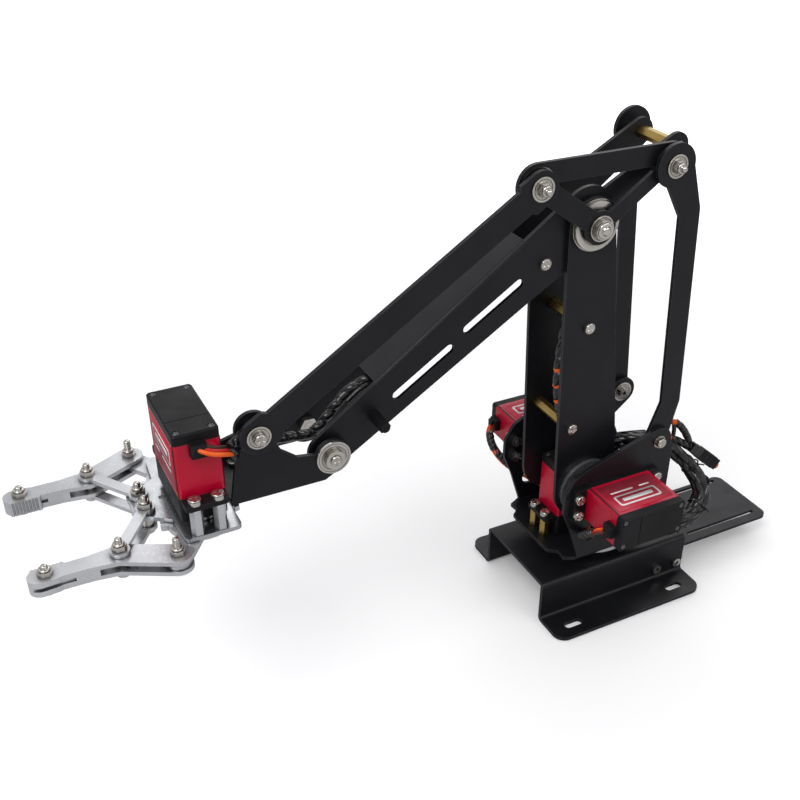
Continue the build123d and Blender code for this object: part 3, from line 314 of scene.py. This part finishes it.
def tube_into(bm, path, radius, seg=10, mat=0, fr=None):
    """Sweeps a ring along the path; radius may be a function of the index."""
    fr = fr or frames(path)
    rings = []
    for i, p in enumerate(path):
        r = radius(i) if callable(radius) else radius
        _, n, b = fr[i]
        rings.append([bm.verts.new(p + (n * math.cos(2 * math.pi * k / seg) + b * math.sin(2 * math.pi * k / seg)) * r)
                      for k in range(seg)])
    for a, c in zip(rings, rings[1:]):
        for k in range(seg):
            f = bm.faces.new((a[k], a[(k + 1) % seg], c[(k + 1) % seg], c[k]))
            f.material_index = mat
    for ring, rev in ((rings[0], True), (rings[-1], False)):
        f = bm.faces.new(list(reversed(ring)) if rev else ring)
        f.material_index = mat


def wire(name, pts, r, mat, body, n=10, seg=8):
    bm = bmesh.new()
    tube_into(bm, spline(pts, n), r * MM, seg)
    return finish_bm(bm, name, mat, body)


def ribbon(name, pts, r, mats, body, n=12, gap=2.1, side=(0, 1, 0)):
    """Several wires laid side by side along one path."""
    path = spline(pts, n)
    fr = frames(path)
    bm = bmesh.new()
    k0 = (len(mats) - 1) / 2
    for k in range(len(mats)):
        off = (k - k0) * gap * r * MM
        sub = [p + fr[i][2] * off for i, p in enumerate(path)]
        tube_into(bm, sub, r * MM, 8, k, fr)
    return finish_bm(bm, name, mats, body)


def wrapped(name, pts, r, body, core=None, pitch=4.2, n=14, turns_r=0.32, mats=None):
    """A sleeved bundle with a flat spiral band wound over it."""
    path = spline(pts, n)
    fr = frames(path)
    bm = bmesh.new()
    tube_into(bm, path, r * 0.93 * MM, 12, 1, fr)
    # length table
    ln = [0.0]
    for a, b in zip(path, path[1:]):
        ln.append(ln[-1] + (b - a).length)
    total = ln[-1]
    steps = int(total / (pitch * MM) * 14)
    j = 0
    band = []
    for s in range(steps + 1):
        d = total * s / steps
        while j < len(ln) - 2 and ln[j + 1] < d:
            j += 1
        f = (d - ln[j]) / max(ln[j + 1] - ln[j], 1e-9)
        p = path[j].lerp(path[j + 1], f)
        tg = fr[j][0].lerp(fr[j + 1][0], f).normalized()
        nn = fr[j][1].lerp(fr[j + 1][1], f)
        nn = (nn - tg * nn.dot(tg)).normalized()
        bb = tg.cross(nn)
        a = 2 * math.pi * d / (pitch * MM)
        rad = nn * math.cos(a) + bb * math.sin(a)
        band.append((p, tg, rad))
    w = pitch * 0.40 * MM
    prev = None
    for p, tg, rad in band:
        q = [bm.verts.new(p + tg * x + rad * y) for x, y in
             ((-w, r * 0.86 * MM), (-w, r * 1.0 * MM), (0, r * 1.035 * MM), (w, r * 1.0 * MM), (w, r * 0.86 * MM))]
        if prev:
            for k in range(5):
                bm.faces.new((prev[k], prev[(k + 1) % 5], q[(k + 1) % 5], q[k]))
        else:
            bm.faces.new(list(reversed(q)))
        prev = q
    bm.faces.new(prev)
    return finish_bm(bm, name, mats or [SLEEVE, SLEEVE], body)


def boxy(name, center, size, rot, mat, body, bevel=0.4, extra=None, ribs=0):
    """A moulded block with ribs; size in mm; rot maps local to world."""
    bm = bmesh.new()
    sx, sy, sz = (s / 2 for s in size)

    def block(x0, x1, y0, y1, z0, z1):
        v = [bm.verts.new(Vector((x, y, z))) for x in (x0, x1) for y in (y0, y1) for z in (z0, z1)]
        for f in ((0, 1, 3, 2), (4, 6, 7, 5), (0, 4, 5, 1), (2, 3, 7, 6), (0, 2, 6, 4), (1, 5, 7, 3)):
            bm.faces.new([v[i] for i in f])
    block(-sx, sx, -sy, sy, -sz, sz)
    for k in range(ribs):
        x = -sx + (k + 1) * 2 * sx / (ribs + 1)
        block(x - 0.35, x + 0.35, -sy - 0.3, sy + 0.3, -sz - 0.3, sz + 0.3)
    M = rot.to_4x4() if hasattr(rot, "to_4x4") else rot
    for v in bm.verts:
        v.co = (M @ v.co + Vector(center)) * MM
    return finish_bm(bm, name, mat, body, bevel * MM)


def look(direction, up=(0, 0, 1)):
    """Rotation whose local +X points along direction."""
    x = Vector(direction).normalized()
    u = Vector(up)
    if abs(x.dot(u.normalized())) > 0.95:
        u = Vector((0, 1, 0))
    y = u.cross(x).normalized()
    z = x.cross(y)
    return Matrix((x, y, z)).transposed()

# ---------------------------------------------------------------- servo dressing
SERVOS = {  # mounting face centre at the shaft, long axis, outward axis, body
    "yaw": ((0, 0, 50.9), (1, 0, 0), (0, 0, 1), "turret"),
    "left": ((SX, 31.3, SZ), (-1, 0, 0), (0, 1, 0), "turret"),
    "right": ((SX, -31.3, SZ), (-1, 0, 0), (0, -1, 0), "turret"),
    "gripper": ((GX, YC + PG, ZP + 12.8), (0, -1, 0), (0, 0, 1), "hand"),
}


def servo_frame(key):
    o, u, n, body = SERVOS[key]
    o, u, n = Vector(o), Vector(u), Vector(n)
    return o, u, n, n.cross(u), body


def cross_screw(bm, base, axis, r, h, mat=0, slots=2, depth=0.35):
    """Domed screw head with a cross or single slot, built as rings; units mm."""
    axis = Vector(axis).normalized()
    a = Vector((0, 0, 1)) if abs(axis.z) < 0.9 else Vector((1, 0, 0))
    u = axis.cross(a).normalized()
    v = axis.cross(u)
    base = Vector(base)
    seg = 32
    prof = [(r, 0.0), (r, h * 0.45), (r * 0.9, h * 0.78), (r * 0.68, h * 0.95), (r * 0.4, h), (r * 0.16, h)]
    rings = []
    for pr, ph in prof:
        ring = []
        for k in range(seg):
            t = 2 * math.pi * k / seg
            z = ph
            # press the drive recess into the crown
            x, y = math.cos(t) * pr, math.sin(t) * pr
            w = 0.16 * r
            if pr < r * 0.75 and (abs(x) < w or (slots == 2 and abs(y) < w)):
                z -= depth
            ring.append(bm.verts.new((base + u * x + v * y + axis * z) * MM))
        rings.append(ring)
    for p, q in zip(rings, rings[1:]):
        for k in range(seg):
            f = bm.faces.new((p[k], p[(k + 1) % seg], q[(k + 1) % seg], q[k]))
            f.material_index = mat
    for ring in (list(reversed(rings[0])), rings[-1]):
        f = bm.faces.new(ring)
        f.material_index = mat


def plate(bm, o, u, v, n, cx, cy, w, h, t, rad=0.8, mat=0, z0=0.0, seg=5):
    """Rounded plate on the plane through o spanned by u, v, thickness t along n."""
    pts = []
    for sx, sy, a0 in ((1, 1, 0), (-1, 1, 90), (-1, -1, 180), (1, -1, 270)):
        for k in range(seg + 1):
            a = math.radians(a0 + 90 * k / seg)
            pts.append((cx + sx * (w / 2 - rad) + rad * math.cos(a), cy + sy * (h / 2 - rad) + rad * math.sin(a)))
    lo = [bm.verts.new((o + u * x + v * y + n * z0) * MM) for x, y in pts]
    hi = [bm.verts.new((o + u * x + v * y + n * (z0 + t)) * MM) for x, y in pts]
    k = len(pts)
    for i in range(k):
        f = bm.faces.new((lo[i], lo[(i + 1) % k], hi[(i + 1) % k], hi[i]))
        f.material_index = mat
    for ring in (list(reversed(lo)), hi):
        f = bm.faces.new(ring)
        f.material_index = mat


PALE = painted("pale_print", (0.58, 0.56, 0.55), (0.70, 0.68, 0.67), 0.45, 0.6, grain=0.000005, rim=(0.8, 0.8, 0.8), spec=0.3)

for key in SERVOS:
    o, u, n, w, body = servo_frame(key)
    # four cover screws
    bm = bmesh.new()
    for dx in (10 - 17.4, 10 + 17.4):
        for dy in (-7.4, 7.4):
            cross_screw(bm, o + u * dx + w * dy + n * (2.5 + 26 + 4.3), n, 1.45, 0.75, slots=2)
    finish_bm(bm, key + "_servo_cover_screws", DARK_STEEL, body)
    # label panel on both wide side faces of the case
    for s, tag in ((1, "a"), (-1, "b")):
        face_o = o + n * (2.5 + 13) + w * (10.0 * s)
        vv = n
        bm = bmesh.new()
        plate(bm, face_o, u, vv, w * s, 10.0, 0.0, 34.5, 22.0, 0.18, 1.0, 0)
        finish_bm(bm, key + "_servo_label_" + tag, LABEL, body)
        # plain printed bars stand in for the printing on the label
        for tag2, cx0, cy0, ww, hh, z0, rad, mt in (("print", 10.0, 3.4, 26.0, 8.4, 0.18, 1.6, PALE), ("print_core", 10.0, 3.4, 23.8, 6.2, 0.22, 1.1, LABEL),
                                                    ("print_bar", 10.0, 3.4, 18.5, 2.6, 0.26, 0.8, PALE), ("print_line_a", 4.8, -3.6, 14.0, 1.1, 0.18, 0.5, PALE),
                                                    ("print_line_b", 19.0, -3.6, 6.5, 1.1, 0.18, 0.5, PALE)):
            bm = bmesh.new()
            plate(bm, face_o, u, vv, w * s, cx0, cy0, ww, hh, 0.05, rad, 0, z0=z0)
            finish_bm(bm, key + "_servo_" + tag2 + "_" + tag, mt, body)
        # dark joint line along the end of the label
        bm = bmesh.new()
        plate(bm, face_o, u, vv, w * s, -8.7, 0.0, 0.9, 25.8, 0.10, 0.2, 0)
        finish_bm(bm, key + "_servo_joint_line_" + tag, PLASTIC, body)
    # strain relief
    bo = o + u * (-11.6) + n * (2.5 + 26 - 2.0)
    rot = Matrix((-u, w, n)).transposed()
    boxy(key + "_servo_cable_boot", bo + (-u) * 1.0, (5.0, 6.0, 3.8), rot, PLASTIC, body, 0.5, ribs=2)

# three-core ribbons leaving the servos
ribbon("left_servo_wires", [(32.5, 56.6, 77.2), (36.5, 54.5, 76.4), (39.0, 49.5, 72.0), (37.0, 42.0, 65.0), (31.0, 35.5, 58.5),
                            (24.8, 31.2, 55.0), (21.0, 26.5, 52.5), (14.0, 20.0, 50.0)], 0.72, [BROWN, REDW, ORANGE], "turret")
ribbon("right_servo_wires", [(32.5, -56.6, 77.2), (36.5, -54.5, 76.4), (39.0, -49.5, 72.0), (37.0, -42.0, 65.0), (31.0, -35.5, 58.5),
                             (24.8, -31.2, 55.0), (21.0, -26.5, 52.5), (14.0, -20.0, 50.0)], 0.72, [BROWN, REDW, ORANGE], "turret")
ribbon("yaw_servo_wires", [(-13.5, 0.0, 76.6), (-17.0, 0.5, 76.2), (-21.0, 2.0, 78.5), (-24.0, 4.5, 83.5), (-27.0, 6.0, 88.0)],
       0.7, [BROWN, REDW, ORANGE], "turret")
# black sleeves slipped over the servo ribbons
for sd, tag in ((1, "left"), (-1, "right")):
    wrapped(tag + "_wire_sleeve", [(38.0, 52.4 * sd, 74.7), (39.0, 49.0 * sd, 71.6), (38.6, 45.4 * sd, 68.0)], 2.3, "turret", pitch=2.6)
    wrapped(tag + "_wire_sleeve_lower", [(37.6, 43.4 * sd, 66.2), (33.0, 37.4 * sd, 60.6), (27.6, 33.2 * sd, 56.6)], 2.2, "turret", pitch=2.6)

# rear loom: four wound tubes side by side, out of the turret and round behind the left servo
LOOM = [(-1.4, 6.0, 88.9), (-6.9, 9.0, 92.4), (-11.9, 12.0, 94.0), (-18.0, 15.0, 95.0), (-25.1, 18.0, 92.6), (-31.4, 21.0, 90.9),
        (-38.0, 23.0, 84.6), (-43.6, 26.0, 78.0), (-47.6, 30.0, 70.6), (-49.4, 34.0, 63.4), (-46.6, 37.0, 57.0), (-40.6, 39.0, 52.8),
        (-32.5, 39.6, 50.2), (-23.8, 39.0, 48.8), (-15.0, 37.5, 49.0), (-6.9, 35.0, 50.6), (2.0, 33.0, 53.0)]
lp_, lf_ = spline(LOOM, 6), None
lf_ = frames(lp_)
for k, (rr, ang, rad, pt) in enumerate(((2.7, 20, 2.7, 15.0), (2.4, 140, 2.9, 12.0), (2.6, 255, 2.7, 17.0))):
    pts = []
    for i in range(0, len(lp_), 3):
        a = math.radians(ang + 55 * math.sin(i * 0.055 + k))
        q = lp_[i] + (lf_[i][1] * math.cos(a) + lf_[i][2] * math.sin(a)) * rad * MM
        pts.append(tuple(q / MM))
    wrapped("rear_loom_%s" % "abc"[k], pts, rr, "turret", pitch=pt, n=6)
wrapped("rear_loom_branch", [(-2.0, 4.0, 105.8), (-2.4, 8.0, 101.5), (-5.2, 10.0, 94.5), (-8.9, 14.0, 90.6), (-15.7, 18.0, 88.0), (-24.0, 20.0, 87.0)],
        1.9, "turret", pitch=6.0)
# small ties round the bundle
for k, i in enumerate((44, 62, 76)):
    c, (tg, nn, bb) = lp_[i], lf_[i]
    bm = bmesh.new()
    ring = [c + (nn * math.cos(2 * math.pi * q / 28) + bb * math.sin(2 * math.pi * q / 28)) * 5.05 * MM for q in range(29)]
    tube_into(bm, ring, 0.42 * MM, 8)
    tail = [ring[3], ring[3] + (ring[3] - c) * 0.35 + tg * 0.4 * MM, ring[3] + (ring[3] - c) * 0.8 + tg * 1.3 * MM]
    tube_into(bm, tail, 0.42 * MM, 8)
    finish_bm(bm, "rear_loom_tie_%d" % k, PLASTIC, "turret")
# plug and its orange-cored leads
D = Vector((-0.73, 0.10, -0.62))
R1 = look(D, (0, 1, 0))
boxy("plug_body", (-58.6, 24.4, 75.8), (14.5, 6.6, 8.6), R1, PLASTIC, "turret", 0.6, ribs=3)
boxy("plug_shoulder", (-50.0, 23.3, 83.2), (9.0, 5.6, 7.4), R1, SLEEVE, "turret", 0.8, ribs=1)
wire("plug_orange_end", [(-63.6, 25.2, 70.6), (-65.2, 25.5, 69.4), (-66.4, 25.6, 68.4)], 2.1, ORANGE, "turret")
boxy("plug_mouth", (-63.6, 25.1, 71.2), (3.4, 5.4, 6.8), R1, SLEEVE, "turret", 0.6)
wrapped("plug_lead_a", [(-34.8, 20.4, 92.8), (-39.5, 21.4, 90.0), (-44.5, 22.3, 86.6), (-48.5, 23.0, 84.0)], 2.2, "turret", pitch=5.0)
wire("plug_lead_a_core", [(-32.6, 20.0, 94.4), (-33.8, 20.2, 93.5), (-35.0, 20.4, 92.7)], 1.7, ORANGE, "turret")
wrapped("plug_lead_b", [(-36.6, 20.2, 102.2), (-40.0, 20.8, 99.0), (-43.6, 21.6, 93.8), (-46.4, 22.4, 88.0)], 2.0, "turret", pitch=4.6)
wire("plug_lead_b_core", [(-34.0, 20.0, 103.6), (-35.4, 20.1, 103.0), (-36.8, 20.3, 102.0)], 1.6, ORANGE, "turret")
wire("plug_lead_c", [(-35.0, 20.1, 101.8), (-35.6, 20.3, 98.4), (-35.6, 20.4, 94.8)], 1.2, SLEEVE, "turret")

# cable up the lower arm, with orange cores showing between its sleeves
LEAN = math.radians(4.6)


def arm(p, q):
    return SX + p * math.cos(LEAN) + q * math.sin(LEAN), SZ - p * math.sin(LEAN) + q * math.cos(LEAN)


def arm3(p, q, y):
    x, z = arm(p, q)
    return (x, y, z)


wrapped("lower_arm_cable", [arm3(2, 24, 4), arm3(7, 33, 8), arm3(11.6, 50, 10.5), arm3(13.2, 60, 11), arm3(13.2, 71, 11), arm3(10.2, 84, 9), arm3(5, 98, 6), arm3(0, 112, 3), arm3(-2, 126, 1), arm3(-2, 134, 0)],
        2.5, "lower_arm", pitch=8.6)
wrapped("lower_arm_cable_second", [arm3(0, 26, 6), arm3(4, 36, 10), arm3(8.4, 50, 12.5), arm3(9.6, 60, 13), arm3(9.4, 72, 12.5), arm3(7, 86, 10), arm3(2, 100, 7), arm3(-2, 116, 4), arm3(-3, 130, 2)],
        1.8, "lower_arm", pitch=7.0)
for k, (q, p) in enumerate(((55.0, 12.6), (64.5, 13.35), (73.5, 12.8))):
    wire("lower_arm_cable_core_%d" % k, [arm3(p - 0.05, q - 0.55, 10.9), arm3(p, q, 11), arm3(p - 0.05, q + 0.55, 10.9)], 2.68, ORANGE, "lower_arm", seg=16)

# cable through the forearm, coming out over the wrist into the hand
F = lambda s, n, y: (fore(s, n)[0], y, fore(s, n)[1])
wrapped("forearm_cable", [F(16, 1, 1), F(34, 3, 2), F(60, 4, 3), F(88, 3, 3), F(110, 4, 3), F(124, 7.0, 4), F(132, 9.5, 4.5), F(140, 9.5, 4.5)],
        2.7, "forearm", pitch=8.5)
wire("forearm_cable_strand", [F(20, -3, 5), F(44, -2, 7), F(74, -1, 7), F(100, 0, 7), F(120, 5, 8), F(130, 9, 8.5), F(139, 8.6, 8.4)], 1.3, SLEEVE, "forearm")
hand_loom = wrapped("wrist_cable", [F(138, 9.4, 4.5), F(144, 8.6, 4.6), F(150, 7.2, 4.8), (WX + 4, 5.4, WZ + 5.0), (WX + 14, 6.5, WZ + 6.4), (WX + 24, 9.0, WZ + 9.0), (WX + 33, 12.0, WZ + 12.5), (WX + 40, 14.0, WZ + 15.5)],
                    2.4, None, pitch=6.5)
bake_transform(hand_loom)

# gripper servo leads: three cores looping back into the hand
gx, gz = GX, ZP + 12.8 + 2.5 + 26 - 2.6
gz += 0.6
ribbon("gripper_servo_wires", [(gx - 0.5, 30.0, gz + 0.8), (gx - 1.4, 32.2, gz + 0.8), (gx - 4.4, 34.0, gz - 0.2), (gx - 8.2, 33.4, gz - 1.8), (gx - 11.0, 31.2, gz - 3.8), (gx - 13.0, 28.4, gz - 6.0)],
       0.95, [BROWN, REDW, ORANGE], "hand", side=(0, 0, 1))
for k, (dy, dz, rr) in enumerate(((0.0, 0.0, 1.9), (-2.6, 2.4, 1.7), (-1.4, -3.4, 1.7))):
    wrapped("hand_cable_%s" % "abc"[k], [(gx - 13.8, 29.6 + dy, gz - 6.4 + dz), (gx - 17.0, 26.4 + dy, gz - 7.4 + dz), (gx - 19.6, 21.4 + dy, gz - 9.6 + dz),
            (gx - 22.6, 16.0 + dy * 0.6, gz - 12.4 + dz * 0.5), (gx - 27.0, 13.2, gz - 13.5 + dz * 0.5), (gx - 31, 12.4, gz - 14.5), (gx - 37, 11.0, gz - 18.0)],
            rr, "hand", pitch=5.4)
wrapped("hand_cable_loop", [(gx - 16.6, 24.0, gz - 12.8), (gx - 14.8, 25.8, gz - 9.6), (gx - 16.4, 26.0, gz - 5.0), (gx - 20.0, 22.4, gz - 3.2), (gx - 23.4, 18.4, gz - 5.6), (gx - 26.0, 14.6, gz - 10.4)],
        1.5, "hand", pitch=4.6)

# ---------------------------------------------------------------- fasteners' fine detail
def nyloc(bm, base, axis, r_nut, h, r_bolt, out):
    """Rounded nut collar with the domed, grooved end of its bolt; units mm."""
    axis = Vector(axis).normalized()
    a = Vector((0, 0, 1)) if abs(axis.z) < 0.9 else Vector((1, 0, 0))
    u = axis.cross(a).normalized()
    v = axis.cross(u)
    base = Vector(base)
    prof = [(r_nut, 0.0), (r_nut, h * 0.55), (r_nut * 0.93, h * 0.85), (r_nut * 0.8, h), (r_bolt + 0.12, h)]
    n = max(2, int(out / 0.5))
    for k in range(n):
        z = h + out * k / n
        prof += [(r_bolt, z + 0.02), (r_bolt, z + out / n * 0.5), (r_bolt * 0.9, z + out / n * 0.75)]
    prof += [(r_bolt * 0.9, h + out), (r_bolt * 0.72, h + out + 0.32), (r_bolt * 0.35, h + out + 0.48), (0.06, h + out + 0.5)]
    rings = [[bm.verts.new((base + u * math.cos(2 * math.pi * k / 28) * pr + v * math.sin(2 * math.pi * k / 28) * pr + axis * pz) * MM)
              for k in range(28)] for pr, pz in prof]
    for p, q in zip(rings, rings[1:]):
        for k in range(28):
            bm.faces.new((p[k], p[(k + 1) % 28], q[(k + 1) % 28], q[k]))
    bm.faces.new(list(reversed(rings[0])))
    bm.faces.new(rings[-1])


def heads(name, items, body, mat=NICKEL):
    bm = bmesh.new()
    for base, axis, r, h in items:
        cross_screw(bm, base, axis, r, h, depth=min(0.5, h * 0.6))
    finish_bm(bm, name, mat, body)


LA_Y, FA_Y, BC, HX, HY = (18.6, -14.6), (16.3, -12.3), 10.0, 24.75, 5.0
heads("turret_screw_crowns", [((BC + a, b, 50.9 + 2.5 + 1.9), (0, 0, 1), 2.75, 0.75) for a in (-HX, HX) for b in (-HY, HY)]
      + [((SX - BC + a, sd * (31.3 + 2.5 + 1.9), SZ + b), (0, sd, 0), 2.75, 0.75) for sd in (1, -1) for a in (-HX, HX) for b in (-HY, HY)]
      + [((BX, 31.3 + 0.6 + 1.9, BZ), (0, 1, 0), 2.7, 0.7)], "turret")
heads("lower_arm_screw_crowns", [(arm3(10.2, 41.0, LA_Y[0] + 1.9), (0, 1, 0), 2.7, 0.6), (arm3(1.2, 97.1, LA_Y[0] + 1.9), (0, 1, 0), 2.7, 0.6),
                                 (arm3(10.2, 41.0, LA_Y[1] - 1.9), (0, -1, 0), 2.7, 0.6), (arm3(1.2, 97.1, LA_Y[1] - 1.9), (0, -1, 0), 2.7, 0.6)], "lower_arm")
bm = bmesh.new()
nyloc(bm, (EX, 28.2, EZ), (0, 1, 0), 3.9, 0.7, 2.3, 0.5)
finish_bm(bm, "elbow_bolt_end", NICKEL, "lower_arm")
heads("forearm_screw_crowns", [(F(28.7, -0.4, FA_Y[0] + 1.6), (0, 1, 0), 2.7, 0.6), (F(28.7, -0.4, FA_Y[1] - 1.4), (0, -1, 0), 2.7, 0.6)], "forearm")
bm = bmesh.new()
for x in (EX + 36, EX - 36):
    nyloc(bm, (x, 32.0, EZ + 25), (0, 1, 0), 2.6, 1.0, 1.55, 1.4)
finish_bm(bm, "rocker_nut_collars", NICKEL, "rocker")
heads("wrist_bolt_crowns", [((WX + 36, 31.5, WZ + 25), (0, 1, 0), 2.8, 1.0), ((WX, 24.6, WZ), (0, 1, 0), 2.5, 1.2)], "hand")
heads("gripper_screw_crowns", [((GX + a, YC + PG - BC + b, ZP + 12.8 + 2.5 + 1.9), (0, 0, 1), 2.75, 0.8) for a in (-HY, HY) for b in (-HX, HX)], "hand")

LVX, LVY, IY = 16.7, 24.3, 5.7
for sgn, tag in ((1, "near"), (-1, "far")):
    px, py = GX + LVX, YC + sgn * (PG + LVY)
    mx, my = IX + LVX, YC + sgn * (IY + LVY)
    tx, ty = WX + 129.5, YC + sgn * 30.1
    bm = bmesh.new()
    nyloc(bm, (tx, ty, ZP + 2.4), (0, 0, 1), 2.45, 1.0, 1.55, 0.9)
    nyloc(bm, (px, py, ZP + 2.4), (0, 0, 1), 2.45, 1.0, 1.55, 4.2)
    nyloc(bm, (mx, my, 133.6), (0, 0, 1), 2.45, 1.0, 1.55, 1.8)
    finish_bm(bm, tag + "_finger_nut_collars", NICKEL, tag + "_finger")
bm = bmesh.new()
for sd in (1, -1):
    nyloc(bm, (IX, YC + sd * IY, 133.6), (0, 0, 1), 2.45, 1.0, 1.55, 1.8)
finish_bm(bm, "gripper_pin_nut_collars", NICKEL, "hand")

# ---------------------------------------------------------------- floor, light, camera
bpy.ops.mesh.primitive_plane_add(size=12, location=(0, 0, -0.0006))
floor = bpy.context.object
floor.name = "floor"
m, t, b = new_mat("floor_white")
lp = t.nodes.new("ShaderNodeLightPath")
t.links.new(mix(t, lp.outputs["Is Camera Ray"], (0.50, 0.50, 0.505), (0.93, 0.93, 0.935)), b.inputs["Base Color"])
b.inputs["Roughness"].default_value = 0.7
b.inputs["Specular IOR Level"].default_value = 0.1
b.inputs["Emission Color"].default_value = (1, 1, 1, 1)
glow = t.nodes.new("ShaderNodeMath")
glow.operation = "MULTIPLY"
geo = t.nodes.new("ShaderNodeNewGeometry")
away = t.nodes.new("ShaderNodeVectorMath")
away.operation = "LENGTH"
t.links.new(geo.outputs["Position"], away.inputs[0])
rise = t.nodes.new("ShaderNodeMapRange")
rise.inputs["From Min"].default_value = 0.35
rise.inputs["From Max"].default_value = 1.1
rise.inputs["To Min"].default_value = 0.10
rise.inputs["To Max"].default_value = 1.2
t.links.new(away.outputs["Value"], rise.inputs["Value"])
t.links.new(rise.outputs[0], glow.inputs[1])
t.links.new(lp.outputs["Is Camera Ray"], glow.inputs[0])
t.links.new(glow.outputs[0], b.inputs["Emission Strength"])
floor.data.materials.append(m)

world = bpy.data.worlds.new("studio")
bpy.context.scene.world = world
world.use_nodes = True
wt = world.node_tree
bg = wt.nodes["Background"]
tc = wt.nodes.new("ShaderNodeTexCoord")
sep = wt.nodes.new("ShaderNodeSeparateXYZ")
wt.links.new(tc.outputs["Generated"], sep.inputs[0])
hgt = wt.nodes.new("ShaderNodeMapRange")
hgt.inputs["From Min"].default_value = -1.0
hgt.inputs["From Max"].default_value = 1.0
wt.links.new(sep.outputs["Z"], hgt.inputs["Value"])
grad = ramp(wt, hgt.outputs[0], [(0.0, (0.25, 0.25, 0.26)), (0.46, (0.22, 0.22, 0.235)), (0.56, (0.40, 0.40, 0.42)),
                                 (0.72, (0.52, 0.52, 0.54)), (0.88, (0.80, 0.80, 0.81)), (1.0, (1.0, 1.0, 1.0))])
patch = spread(wt, noise(wt, tc.outputs["Generated"], 1.5, 1.0, 0.4), 0.45, 1.45)
soft = wt.nodes.new("ShaderNodeVectorMath")
soft.operation = "SCALE"
wt.links.new(grad, soft.inputs[0])
wt.links.new(patch, soft.inputs["Scale"])
wlp = wt.nodes.new("ShaderNodeLightPath")
wt.links.new(mix(wt, wlp.outputs["Is Camera Ray"], soft.outputs[0], (1.0, 1.0, 1.0)), bg.inputs[0])
bg.inputs[1].default_value = 1.0


def area(name, loc, target, size, power):
    d = bpy.data.lights.new(name, "AREA")
    d.shape = "RECTANGLE"
    d.size, d.size_y = size
    d.energy = power
    o = bpy.data.objects.new(name, d)
    bpy.context.scene.collection.objects.link(o)
    o.location = loc
    o.rotation_euler = (Vector(target) - Vector(loc)).to_track_quat("-Z", "Y").to_euler()
    return o


area("key", (0.9, 0.5, 1.3), (0.08, 0, 0.12), (0.8, 0.8), 11)
area("fill", (-0.7, 1.2, 0.8), (0.05, 0, 0.12), (1.2, 0.9), 4.5)
area("back", (-0.6, -1.0, 1.0), (0.05, 0, 0.12), (1.5, 0.9), 5.0)

# camera: fitted view of the object
f, az, el, roll = 1047.3243, math.radians(151.747), math.radians(32.5266), math.radians(1.04374)
cx, cy, dist, ppx, ppy = -90.318, -24.0097, 564.785, 435.026, 434.363
back = Vector((math.sin(az) * math.cos(el), -math.cos(az) * math.cos(el), math.sin(el)))
right = (-back).cross(Vector((0, 0, 1))).normalized()
up = right.cross(-back)
r2 = right * math.cos(roll) + up * math.sin(roll)
u2 = -right * math.sin(roll) + up * math.cos(roll)
cam_data = bpy.data.cameras.new("camera")
cam = bpy.data.objects.new("camera", cam_data)
bpy.context.scene.collection.objects.link(cam)
C = (Vector((0, 0, 120)) + back * dist + right * cx + up * cy) * MM
cam.matrix_world = Matrix(((r2.x, u2.x, back.x, C.x), (r2.y, u2.y, back.y, C.y), (r2.z, u2.z, back.z, C.z), (0, 0, 0, 1)))
cam_data.sensor_width = 36
cam_data.lens = f / 800 * 36
cam_data.shift_x = (400 - ppx) / 800
cam_data.shift_y = (ppy - 400) / 800
cam_data.clip_start = 0.01
bpy.context.scene.camera = cam
bpy.context.scene.view_settings.view_transform = "Standard"
